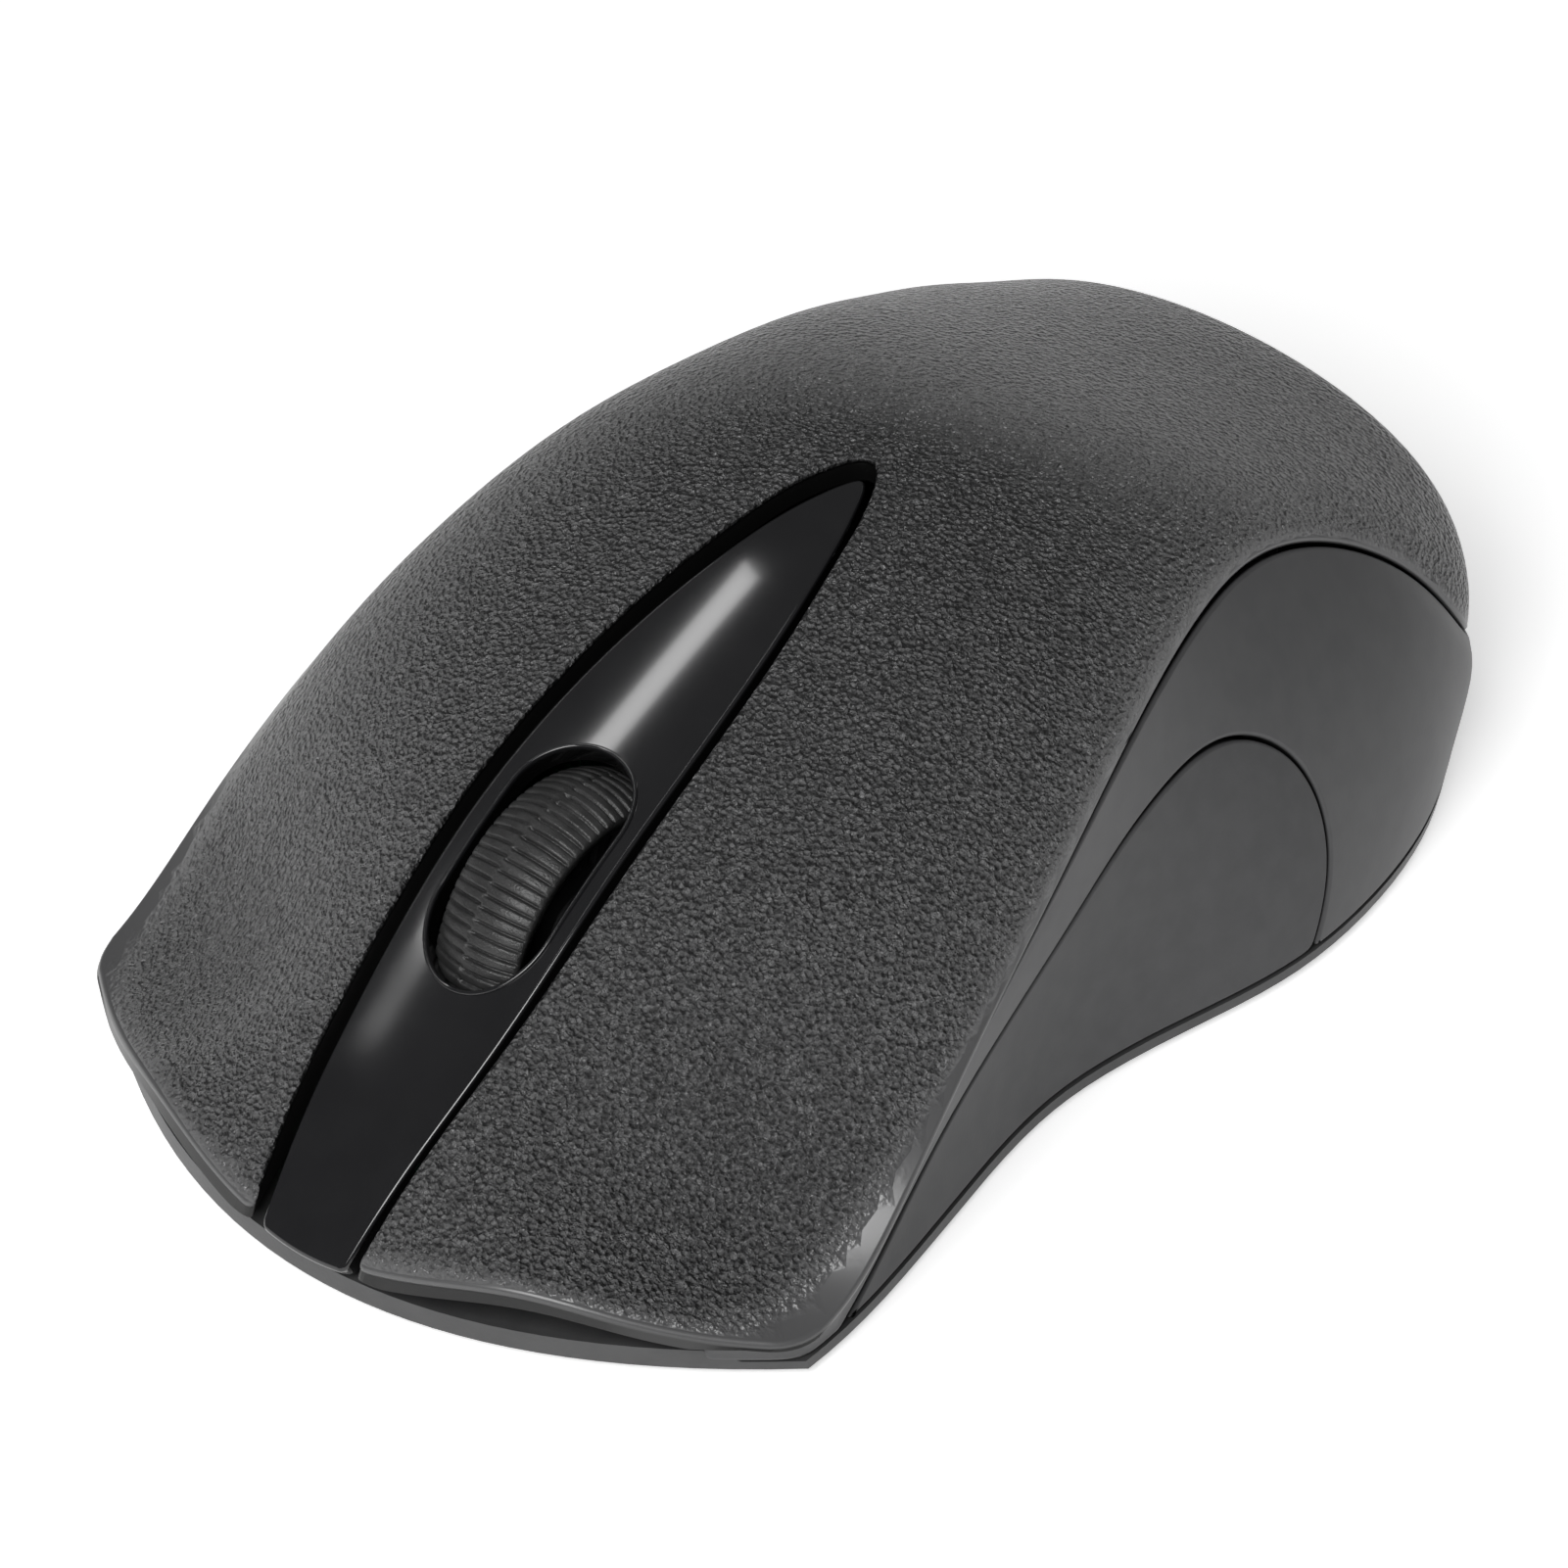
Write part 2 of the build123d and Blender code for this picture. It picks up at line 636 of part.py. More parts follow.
with BuildPart() as board_screws:
    with BuildSketch(Plane.XY.offset(BOARD_TOP)):
        with Locations(*BOARD_SCREWS):
            Circle(1.7)
    extrude(amount=1.1)
    with BuildSketch(Plane.XY.offset(BOARD_TOP + 1.1)):
        with Locations(*BOARD_SCREWS):
            Rectangle(2.2, 0.5)
            Rectangle(0.5, 2.2)
    extrude(amount=-0.6, mode=Mode.SUBTRACT)
    with BuildSketch(Plane.XY.offset(BOARD_TOP)):
        with Locations(*BOARD_SCREWS):
            Circle(0.78)
    extrude(amount=-2.9)
save(board_screws, "board_screws")


def button_switch(side, name):
    """Micro switch body under one button, with a well for its plunger."""
    with BuildPart() as switch:
        with BuildSketch(Plane.XY.offset(BOARD_TOP)):
            with Locations((side * SWITCH_X, SWITCH_Y)):
                Rectangle(5.8, 12.8)
        extrude(amount=SWITCH_HEIGHT)
        chamfer(switch.faces().sort_by(Axis.Z)[-1].edges(), 0.3)
        with BuildSketch(Plane.XY.offset(BOARD_TOP + SWITCH_HEIGHT)):
            with Locations((side * SWITCH_X, PLUNGER_Y)):
                Rectangle(2.6, 1.8)
        extrude(amount=-1.3, mode=Mode.SUBTRACT)
    save(switch, name)


def switch_plunger(side, name):
    """The small plunger that one button presses."""
    with BuildPart() as plunger:
        with BuildSketch(Plane.XY.offset(PLUNGER_TOP - 1.6)):
            with Locations((side * SWITCH_X, PLUNGER_Y)):
                Rectangle(2.4, 1.6)
        extrude(amount=1.6)
        chamfer(plunger.faces().sort_by(Axis.Z)[-1].edges(), 0.2)
    save(plunger, name)


for side, word in ((1, "left"), (-1, "right")):
    button_switch(side, f"{word}_switch")
    switch_plunger(side, f"{word}_plunger")

MIDDLE_SWITCH_TOP = BOARD_TOP + 3.0
MIDDLE_PLUNGER_TOP = NOSE_BAR_Z - 1.5 - 0.02
with BuildPart() as middle_switch:
    with BuildSketch(Plane.XY.offset(BOARD_TOP)):
        with Locations((0, NOSE_BAR_Y)):
            RectangleRounded(6.0, 6.0, 0.5)
    extrude(amount=MIDDLE_SWITCH_TOP - BOARD_TOP)
    with BuildSketch(Plane.XY.offset(MIDDLE_SWITCH_TOP)):
        with Locations((0, NOSE_BAR_Y)):
            Circle(1.7)
    extrude(amount=-1.4, mode=Mode.SUBTRACT)
save(middle_switch, "middle_switch")

with BuildPart() as middle_plunger:
    with BuildSketch(Plane.XY.offset(MIDDLE_PLUNGER_TOP - 1.5)):
        with Locations((0, NOSE_BAR_Y)):
            Circle(1.6)
    extrude(amount=1.5)
save(middle_plunger, "middle_plunger")

with BuildPart() as sensor_chip:
    with BuildSketch(Plane.XY.offset(BOARD_TOP)):
        with Locations((0, SENSOR_Y)):
            Rectangle(9.6, 9.8)
            Circle(1.6, mode=Mode.SUBTRACT)
    extrude(amount=1.0)
    with BuildSketch(Plane.XY.offset(BOARD_TOP + 1.0)):
        with Locations((0, SENSOR_Y)):
            Rectangle(9.6, 9.8)
    extrude(amount=1.8)
save(sensor_chip, "sensor_chip")

with BuildPart() as sensor_lens:
    with BuildSketch(Plane.XY.offset(FLOOR_Z)):
        with Locations((0, SENSOR_Y)):
            RectangleRounded(13, 10, 1)
    extrude(amount=2.2)
    with BuildSketch(Plane.XY.offset(1.2)):
        with Locations((0, SENSOR_Y)):
            Circle(2.2)
    extrude(amount=1.1)
    with BuildSketch(Plane.XY.offset(FLOOR_Z + 2.2)):
        with Locations((0, SENSOR_Y)):
            Circle(1.5)
    extrude(amount=1.2)
save(sensor_lens, "sensor_lens")

with BuildPart() as board_chips:
    with BuildSketch(Plane.XY.offset(BOARD_TOP)):
        with Locations((-14.0, -9.0)):
            Rectangle(7.0, 7.0)
        with Locations((15.0, -12.0)):
            Rectangle(4.0, 5.0)
    extrude(amount=1.5)
save(board_chips, "board_chips")

with BuildPart() as crystal:
    with BuildSketch(Plane.XY.offset(BOARD_TOP)):
        with Locations((-14.0, -1.0)):
            SlotOverall(8.5, 3.6)
    extrude(amount=3.2)
save(crystal, "crystal")

CAPACITORS = [(10.5, -5.5), (10.5, 0.5), (-19.5, -14.5)]
with BuildPart() as capacitors:
    with BuildSketch(Plane.XY.offset(BOARD_TOP)):
        with Locations(*CAPACITORS):
            Circle(2.0)
    extrude(amount=5.0)
    fillet(capacitors.faces().group_by(Axis.Z)[-1].edges(), 0.4)
save(capacitors, "capacitors")

OPTO_X = 7.9
for side, name in ((1, "wheel_emitter"), (-1, "wheel_detector")):
    with BuildPart() as opto:
        with BuildSketch(Plane.XY.offset(BOARD_TOP)):
            with Locations((side * OPTO_X, WHEEL_Y)):
                Rectangle(1.8, 4.0)
        extrude(amount=3.6)
        with BuildSketch(Plane.YZ.offset(side * (OPTO_X - 0.9))):
            with Locations((WHEEL_Y, BOARD_TOP + 2.2)):
                Circle(1.0)
        extrude(amount=-side * 0.4)
    save(opto, name)

with BuildPart() as power_switch:
    with BuildSketch(Plane.XY.offset(BOARD_Z)):
        with Locations((SLIDER_X + SWITCH_SLIDE / 2, SLIDER_Y)):
            Rectangle(8.6, 4.0)
    extrude(amount=-1.4)
    with BuildSketch(Plane.XY.offset(BOARD_Z - 1.4)):
        with Locations((SLIDER_X + SWITCH_SLIDE / 2, SLIDER_Y)):
            Rectangle(1.2 + SWITCH_SLIDE + 0.4, 1.6)
    extrude(amount=1.0, mode=Mode.SUBTRACT)
save(power_switch, "power_switch")

with BuildPart() as power_slider:
    with BuildSketch(Plane.XY.offset(PLATE_Z + 0.1)):
        with Locations((SLIDER_X, SLIDER_Y)):
            RectangleRounded(*KNOB, 0.4)
    extrude(amount=FLOOR_Z + 0.05 - PLATE_Z - 0.1)
    with BuildSketch(Plane.XY.offset(PLATE_Z + 0.1)):
        with Locations((SLIDER_X, SLIDER_Y)):
            with GridLocations(1.2, 0, 4, 1):
                Rectangle(0.5, 3.0)
    extrude(amount=0.3, mode=Mode.SUBTRACT)
    with BuildSketch(Plane.XY.offset(FLOOR_Z + 0.05)):
        with Locations((SLIDER_X, SLIDER_Y)):
            Rectangle(10.0, 6.0)
    extrude(amount=0.7)
    with BuildSketch(Plane.XY.offset(FLOOR_Z + 0.75)):
        with Locations((SLIDER_X, SLIDER_Y)):
            Rectangle(1.2, 1.2)
    extrude(amount=1.1)
save(power_slider, "power_slider")


# ---------------------------------------------------------------- scroll wheel and its cradle
TYRE_EDGE_R = 10.7
HUB_RIM_R = 8.9              # inside of the rim that carries the tyre
HUB_HALF = 3.0
SLOTS = 20


def wheel_revolve(points):
    """Ring about the wheel axis from a closed profile of (x, radius) points."""
    with BuildPart() as ring:
        with BuildSketch(Plane(origin=(0, WHEEL_Y, WHEEL_Z), x_dir=(1, 0, 0), z_dir=(0, -1, 0))):
            with BuildLine():
                Polyline(*points, close=True)
            make_face()
        revolve(axis=Axis((0, WHEEL_Y, WHEEL_Z), (1, 0, 0)))
    return ring.part


with BuildPart() as wheel_hub:
    add(wheel_revolve([
        (-4.3, AXLE_R), (4.3, AXLE_R), (4.3, 2.4), (0.7, 3.2), (0.7, HUB_RIM_R), (HUB_HALF, HUB_RIM_R),
        (HUB_HALF, TYRE_SEAT_R), (-HUB_HALF, TYRE_SEAT_R), (-HUB_HALF, HUB_RIM_R),
        (-0.7, HUB_RIM_R), (-0.7, 3.2), (-4.3, 2.4),
    ]))
    with BuildSketch(Plane.YZ.offset(-1)):
        with Locations((WHEEL_Y, WHEEL_Z)):
            with PolarLocations(6.4, SLOTS):
                Rectangle(3.0, 1.0)
    extrude(amount=2, mode=Mode.SUBTRACT)
save(wheel_hub, "wheel_hub")

with BuildPart() as wheel_tyre:
    with BuildSketch(Plane(origin=(0, WHEEL_Y, WHEEL_Z), x_dir=(1, 0, 0), z_dir=(0, -1, 0))):
        with BuildLine():
            ThreePointArc((-TYRE_HALF, TYRE_EDGE_R), (0, WHEEL_R), (TYRE_HALF, TYRE_EDGE_R))
            Polyline(
                (TYRE_HALF, TYRE_EDGE_R), (TYRE_HALF, TYRE_SEAT_R), (-TYRE_HALF, TYRE_SEAT_R),
                (-TYRE_HALF, TYRE_EDGE_R),
            )
        make_face()
    revolve(axis=Axis((0, WHEEL_Y, WHEEL_Z), (1, 0, 0)))
save(wheel_tyre, "wheel_tyre")

with BuildPart() as wheel_axle:
    with BuildSketch(Plane.YZ.offset(-6.2)):
        with Locations((WHEEL_Y, WHEEL_Z)):
            Circle(AXLE_R)
    extrude(amount=12.4)
    chamfer(wheel_axle.edges().filter_by(GeomType.CIRCLE), 0.2)
save(wheel_axle, "wheel_axle")

SPRING_X = 7.6
SPRING_Y = -33.0
SPRING_TOP = 8.6
with BuildPart() as wheel_cradle:
    for side in (-1, 1):
        low_x = ARM_X if side > 0 else -ARM_X - ARM_THICK
        with BuildSketch(Plane.YZ.offset(low_x)):
            with BuildLine():
                Polyline(
                    (PIVOT_Y + 1.8, PIVOT_Z - 1.8), (PIVOT_Y + 1.8, PIVOT_Z + 1.8),
                    (WHEEL_Y + 2.4, WHEEL_Z + 2.6), (WHEEL_Y - 2.4, WHEEL_Z + 2.6),
                    (NOSE_BAR_Y - 1.5, NOSE_BAR_Z + 1.5), (NOSE_BAR_Y - 1.5, NOSE_BAR_Z - 1.5),
                    (WHEEL_Y - 2.4, WHEEL_Z - 2.8), (WHEEL_Y + 2.4, WHEEL_Z - 2.8),
                    close=True,
                )
            make_face()
            with Locations((WHEEL_Y, WHEEL_Z)):
                Circle(AXLE_R + RUNNING, mode=Mode.SUBTRACT)
        extrude(amount=ARM_THICK)
    with BuildSketch(Plane.YZ.offset(-8.6)):
        with Locations((PIVOT_Y, PIVOT_Z)):
            Circle(AXLE_R)
    extrude(amount=17.2)
    with BuildSketch(Plane.YZ.offset(-ARM_X - ARM_THICK / 2)):
        with Locations((NOSE_BAR_Y, NOSE_BAR_Z)):
            Circle(1.5)
    extrude(amount=2 * ARM_X + ARM_THICK)
    with Locations((SPRING_X - 0.3, SPRING_Y, SPRING_TOP + 1.6)):
        Box(4.0, 3.4, 3.2)
save(wheel_cradle, "wheel_cradle")

SPRING_R = 1.1
SPRING_WIRE = 0.2
with BuildPart() as cradle_spring:
    height = SPRING_TOP - BOARD_TOP - 2 * SPRING_WIRE
    with BuildLine():
        coil = Helix(
            pitch=height / 4, height=height, radius=SPRING_R,
            center=(SPRING_X, SPRING_Y, BOARD_TOP + SPRING_WIRE),
        )
    with BuildSketch(Plane(origin=coil @ 0, z_dir=coil % 0)):
        Circle(SPRING_WIRE)
    sweep(is_frenet=True)
save(cradle_spring, "cradle_spring")


# ---------------------------------------------------------------- battery bay and receiver
CELL_YS = (CELL_Y, CELL_Y + CELL_PITCH)
BAY_HALF_X = 24.4
BAY_WALL = 1.0
BAY_FRONT = CELL_Y - CELL_PITCH / 2
BAY_REAR = CELL_YS[1] + CELL_PITCH / 2
BAY_TOP = 13.5
POCKET_REAR = 42.3
POCKET_TOP = 16.7
POCKET_HALF = 9.8

with BuildPart() as battery_bay:
    add(region(
        (-BAY_HALF_X - BAY_WALL, BAY_FRONT - BAY_WALL, FLOOR_Z),
        (BAY_HALF_X + BAY_WALL, BAY_REAR + BAY_WALL, BAY_TOP + BAY_WALL),
    ))
    add(region(
        (-POCKET_HALF - BAY_WALL, BAY_REAR, FLOOR_Z),
        (POCKET_HALF + BAY_WALL, POCKET_REAR + BAY_WALL, POCKET_TOP + BAY_WALL),
    ))
    fillet(battery_bay.edges().filter_by(Axis.Z), 0.8)
    add(region((-BAY_HALF_X, BAY_FRONT, 0), (BAY_HALF_X, BAY_REAR, BAY_TOP)), mode=Mode.SUBTRACT)
    add(region(
        (-POCKET_HALF, BAY_REAR + BAY_WALL, 0), (POCKET_HALF, POCKET_REAR, POCKET_TOP)),
        mode=Mode.SUBTRACT)
save(battery_bay, "battery_bay")

CONTACT_THICK = 0.3
CELL_END = BAY_HALF_X - CONTACT_THICK      # the nub end rests on its contact plate
for y, nub_side, name in ((CELL_YS[0], 1, "front_cell"), (CELL_YS[1], -1, "rear_cell")):
    with BuildPart() as cell:
        with BuildSketch(Plane.YZ.offset(nub_side * (CELL_END - CELL_LENGTH))):
            with Locations((y, CELL_Z)):
                Circle(CELL_R)
        extrude(amount=nub_side * (CELL_LENGTH - 0.9))
        fillet(cell.edges().filter_by(GeomType.CIRCLE), 0.4)
        with BuildSketch(Plane.YZ.offset(nub_side * (CELL_END - 1.2))):
            with Locations((y, CELL_Z)):
                Circle(1.9)
        extrude(amount=nub_side * 1.2)
    save(cell, name)

with BuildPart() as contact_plates:
    for y in CELL_YS:
        for side in (-1, 1):
            with Locations((side * (BAY_HALF_X - CONTACT_THICK / 2), y, CELL_Z)):
                Box(CONTACT_THICK, 8.0, 8.0)
save(contact_plates, "contact_plates")

CONTACT_WIRE = 0.22
with BuildPart() as contact_springs:
    for y, side in ((CELL_YS[0], -1), (CELL_YS[1], 1)):
        reach = 2 * CELL_END - CELL_LENGTH - 2 * CONTACT_WIRE
        start_x = side * (CELL_LENGTH - CELL_END + CONTACT_WIRE)
        with BuildLine():
            coil = Helix(
                pitch=reach / 2, height=reach, radius=2.4, cone_angle=20,
                center=(start_x, y, CELL_Z), direction=(side, 0, 0),
            )
        with BuildSketch(Plane(origin=coil @ 0, z_dir=coil % 0)):
            Circle(CONTACT_WIRE)
        sweep(path=coil, is_frenet=True)
save(contact_springs, "contact_springs")

LEAD_R = 0.45
LEAD_XS = (-14.0, -11.5)
with BuildPart() as battery_leads:
    for x in LEAD_XS:
        with BuildLine():
            route = FilletPolyline(
                (x, BAY_FRONT - BAY_WALL, 9.5), (x, 3.4, 9.5), (x, 3.4, BOARD_TOP),
                radius=2.2,
            )
        with BuildSketch(Plane(origin=route @ 0, z_dir=route % 0)):
            Circle(LEAD_R)
        sweep(path=route)
save(battery_leads, "battery_leads")

RECEIVER_Y = 38.9
RECEIVER_Z = 9.3
with BuildPart() as receiver_cap:
    with BuildSketch(Plane.YZ.offset(2.4)):
        with Locations((RECEIVER_Y, RECEIVER_Z)):
            RectangleRounded(6.1, 14.2, 1.2)
    extrude(amount=7.0)
    fillet(receiver_cap.faces().sort_by(Axis.X)[-1].edges(), 0.6)
save(receiver_cap, "receiver_cap")

with BuildPart() as receiver_plug:
    with BuildSketch(Plane.YZ.offset(-9.4)):
        with Locations((RECEIVER_Y, RECEIVER_Z)):
            Rectangle(4.5, 12.0)
            Rectangle(3.9, 11.4, mode=Mode.SUBTRACT)
    extrude(amount=11.8)
    with BuildSketch(Plane.YZ.offset(-8.8)):
        with Locations((RECEIVER_Y + 0.9, RECEIVER_Z)):
            Rectangle(2.1, 11.4)
    extrude(amount=11.2)
save(receiver_plug, "receiver_plug")
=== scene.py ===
import json
import math
import bpy
import numpy as np
from mathutils import Matrix, Vector
from mathutils.geometry import delaunay_2d_cdt


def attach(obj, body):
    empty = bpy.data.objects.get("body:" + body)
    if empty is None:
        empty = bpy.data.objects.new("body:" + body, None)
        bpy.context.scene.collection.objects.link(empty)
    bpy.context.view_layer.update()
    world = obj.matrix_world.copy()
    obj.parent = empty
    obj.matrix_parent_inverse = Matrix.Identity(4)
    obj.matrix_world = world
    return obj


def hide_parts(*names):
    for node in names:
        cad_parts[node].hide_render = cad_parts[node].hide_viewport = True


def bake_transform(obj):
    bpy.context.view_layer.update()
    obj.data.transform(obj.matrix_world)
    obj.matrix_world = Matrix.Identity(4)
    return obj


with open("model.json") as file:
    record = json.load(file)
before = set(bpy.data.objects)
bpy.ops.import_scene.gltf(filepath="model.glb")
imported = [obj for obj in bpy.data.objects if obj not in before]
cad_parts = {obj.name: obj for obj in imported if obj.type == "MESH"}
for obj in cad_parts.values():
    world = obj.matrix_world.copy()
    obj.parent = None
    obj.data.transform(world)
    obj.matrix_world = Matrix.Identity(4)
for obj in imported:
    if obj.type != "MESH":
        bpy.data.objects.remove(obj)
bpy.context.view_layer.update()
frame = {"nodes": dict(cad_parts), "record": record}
nodes = frame["nodes"]
rng = np.random.default_rng(7)

# ------------------------------------------------------------------ body surface, in millimetres
# Cross-sections from nose to tail, close to those of the CAD model: y, crown, seam x and z, base x,
# reach and rise of the top as it leaves the seam, flatness of the crown, tuck and flare of the wall.
# The last row closes the tail.
SECTIONS = np.array([
    (-52.5, 4.3, 28.0, 3.9, 28.3, -2.50, 0.15, 0.35, -0.35, 0.00),
    (-46.0, 11.3, 31.0, 3.5, 31.0, -2.10, 0.22, 0.40, -0.35, -0.03),
    (-40.0, 16.2, 32.4, 3.3, 32.1, -1.70, 0.30, 0.45, -0.35, -0.04),
    (-34.0, 20.2, 32.9, 4.5, 32.3, -1.25, 0.38, 0.49, -0.32, -0.05),
    (-26.0, 24.7, 32.5, 9.8, 31.5, -0.75, 0.48, 0.55, -0.27, -0.06),
    (-16.0, 28.8, 31.2, 16.6, 29.8, -0.35, 0.57, 0.60, -0.17, -0.07),
    (-5.0, 32.2, 29.1, 22.1, 28.7, -0.18, 0.61, 0.61, -0.03, -0.08),
    (6.0, 34.6, 26.4, 26.1, 30.5, -0.15, 0.60, 0.61, 0.10, -0.07),
    (16.0, 34.7, 23.7, 27.7, 32.7, -0.20, 0.57, 0.62, 0.20, -0.04),
    (26.0, 32.2, 22.0, 27.1, 32.6, -0.28, 0.56, 0.68, 0.26, -0.01),
    (35.0, 28.8, 22.8, 23.0, 30.5, -0.32, 0.54, 0.67, 0.28, 0.04),
    (42.0, 26.1, 25.0, 15.9, 27.2, -0.10, 0.61, 0.74, 0.25, 0.09),
    (47.0, 24.2, 24.9, 8.8, 23.2, 0.07, 0.69, 0.79, 0.18, 0.16),
    (50.5, 22.7, 19.7, 8.2, 16.2, 0.32, 0.78, 0.86, 0.04, 0.26),
    (51.8, 21.2, 12.5, 8.8, 9.5, 0.50, 0.80, 0.90, -0.07, 0.32),
    (52.3, 17.4, 6.4, 9.3, 4.8, 0.50, 0.80, 0.90, -0.07, 0.32),
    (52.4, 10.1, 0.0, 9.5, 0.0, 0.50, 0.80, 0.90, -0.07, 0.32),
])
BASE_Z = 0.6               # underside of the bottom plate
PULL = 0.35                # length of the wall's end tangents, as a share of its height
NOSE_Y = -52.5
NOSE_CURVE = 0.01365       # the nose line in plan is y = NOSE_Y + NOSE_CURVE * x^2
SPLIT_Y = 5.0              # where the buttons bend from the palm cover
TIP_Y = 9.5                # rear tip of the spine's opening
WALL_Z = 1.45              # lower edge of the side walls
STRIP_X = 27.0             # half-width of the bottom plate's front strip


def control_row(row):
    """Control points of the half section: three for the top, three more for the wall."""
    y, crown, sx, sz, bx, reach, rise, flat, tuck, flare = row
    h = crown - sz
    drop = sz - BASE_Z
    shoulder = 1.6 * crown - 0.6 * sz - 0.5 * rise * h
    return [y, sx, sz, sx + reach * h, sz + rise * h, flat * sx, shoulder,
            sx + tuck * drop, sz - PULL * drop, bx + flare * drop, BASE_Z + PULL * drop, bx, BASE_Z]


def smooth_through(knots, rows):
    """Natural cubic curve through rows given at increasing knots."""
    n = len(knots)
    h = np.diff(knots)
    system = np.eye(n)
    for i in range(1, n - 1):
        system[i, i - 1:i + 2] = h[i - 1], 2 * (h[i - 1] + h[i]), h[i]
    right = np.zeros_like(rows)
    right[1:-1] = 6 * np.diff(np.diff(rows, axis=0) / h[:, None], axis=0)
    bend = np.linalg.solve(system, right)

    def at(q):
        q = np.clip(q, knots[0], knots[-1])
        i = np.clip(np.searchsorted(knots, q) - 1, 0, n - 2)
        hi = h[i][..., None]
        low = (q - knots[i])[..., None]
        high = hi - low
        return ((bend[i] * high**3 + bend[i + 1] * low**3) / (6 * hi)
                + (rows[i] / hi - bend[i] * hi / 6) * high
                + (rows[i + 1] / hi - bend[i + 1] * hi / 6) * low)
    return at


CONTROL = np.array([control_row(r) for r in SECTIONS])
_xz = np.stack([CONTROL[:, 1::2], np.repeat(CONTROL[:, :1], 6, 1), CONTROL[:, 2::2]], -1)
STEPS = np.linalg.norm(np.diff(_xz, axis=0), axis=2).mean(1)
KNOTS = np.concatenate([[0], np.cumsum(STEPS)])
LAST = KNOTS[-1]
section = smooth_through(KNOTS, CONTROL)


def bezier(points, s):
    """Point at s on Bezier curves: points is a list of arrays."""
    points = list(points)
    s = s[..., None]
    while len(points) > 1:
        points = [a + (b - a) * s for a, b in zip(points, points[1:])]
    return points[0]


def pair(c, i):
    return c[..., i:i + 2]


def top_raw(t, v):
    """Point of the top: t from 0 on the centre line to 1 at the +X seam, v along the body."""
    c = section(v)
    sign = np.array([-1.0, 1.0])
    right = [pair(c, 1), pair(c, 3), pair(c, 5)]
    xz = bezier([p * sign for p in right] + right[::-1], 0.5 + t / 2)
    return np.stack([xz[..., 0], c[..., 0], xz[..., 1]], -1)


def wall_raw(w, v):
    """Point of the +X wall: w from 0 at the seam to 1 at the foot."""
    c = section(v)
    xz = bezier([pair(c, 1), pair(c, 7), pair(c, 9), pair(c, 11)], w)
    return np.stack([xz[..., 0], c[..., 0], xz[..., 1]], -1)


TABLE_V = np.linspace(0, LAST, 500)
_t = np.linspace(0, 1, 80)


def _lengths(raw):
    grid = raw(np.broadcast_to(_t, (500, 80)), np.broadcast_to(TABLE_V[:, None], (500, 80)))
    return np.linalg.norm(np.diff(grid, axis=1), axis=2).sum(1)


HALF_WIDTH = np.maximum(_lengths(top_raw), 0.05)
WALL_HEIGHT = _lengths(wall_raw)
TABLE_Y = np.maximum.accumulate(section(TABLE_V)[:, 0])


def v_of_y(y):
    return np.interp(y, TABLE_Y, TABLE_V)


def half_width(v):
    return np.interp(v, TABLE_V, HALF_WIDTH)


def wall_height(v):
    return np.interp(v, TABLE_V, WALL_HEIGHT)


def top(q):
    """Top surface over (distance across, distance along)."""
    return top_raw(q[..., 0] / half_width(q[..., 1]), q[..., 1])


def nose_line(x):
    return NOSE_Y + NOSE_CURVE * x**2


def solve(f, low, high, rounds=40):
    """Root of an increasing function by halving, element by element."""
    low = low + 0 * f(low)
    high = high + 0 * low
    for _ in range(rounds):
        middle = (low + high) / 2
        below = f(middle) < 0
        low = np.where(below, middle, low)
        high = np.where(below, high, middle)
    return (low + high) / 2


def top_at(x, y):
    """(across, along) of the top at this x and y."""
    v = v_of_y(y)
    size = np.abs(x)
    t = solve(lambda s: top_raw(s, v)[..., 0] - size, np.zeros_like(v), np.ones_like(v))
    return np.stack([np.sign(x) * t * half_width(v), v], -1)


# The frame and grips lie on one long surface: from the nose corner on +X, round the tail, and back
# along -X. It wraps inwards round each nose corner.
FRAME_SETBACK = 1.0        # the frame's ends stand this far behind the nose line
CORNER_X = 32.2
CORNER_V = float(v_of_y(nose_line(CORNER_X) + FRAME_SETBACK))
CORNER_SOFT = 1.7          # distance over which the corner is blurred
WRAP_SLOPE = 0.76          # travel in x for each millimetre round the corner


def side_raw(p, b):
    side = np.where(p > LAST, -1.0, 1.0)
    fold = LAST - np.abs(p - LAST)
    v = np.maximum(fold, CORNER_V)
    point = wall_raw(1 - b / wall_height(v), v)
    ahead = np.maximum(CORNER_V - fold, 0)
    x = point[..., 0] - WRAP_SLOPE * ahead
    y = point[..., 1] + nose_line(x) - nose_line(point[..., 0])
    return np.stack([side * x, y, point[..., 2]], -1)


def side(q):
    """Side surface over (distance along, height up the wall), with the nose corners rounded."""
    p, b = q[..., 0], q[..., 1]
    fold = LAST - np.abs(p - LAST)
    soft = CORNER_SOFT * np.clip(1 - (np.abs(fold - CORNER_V) - 2) / 3, 0, 1)
    total = 0
    weights = (1, 2, 3, 2, 1)
    for k, weight in zip((-1, -0.5, 0, 0.5, 1), weights):
        total = total + weight * side_raw(p + k * soft, b)
    return total / sum(weights)


def up_at(v, z):
    """Distance up the wall where it reaches height z."""
    w = solve(lambda s: z - wall_raw(s, v)[..., 2], np.zeros_like(v), np.ones_like(v))
    return (1 - w) * wall_height(v)


def side_at(y, z):
    """(along, up) of the +X wall at this y and z."""
    v = v_of_y(y)
    return np.stack([v, up_at(v, z)], -1)


# ------------------------------------------------------------------ slabs: sheets cut from a surface
def along(points):
    """Distance along a line of points."""
    return np.concatenate([[0], np.cumsum(np.linalg.norm(np.diff(points, axis=0), axis=1))])


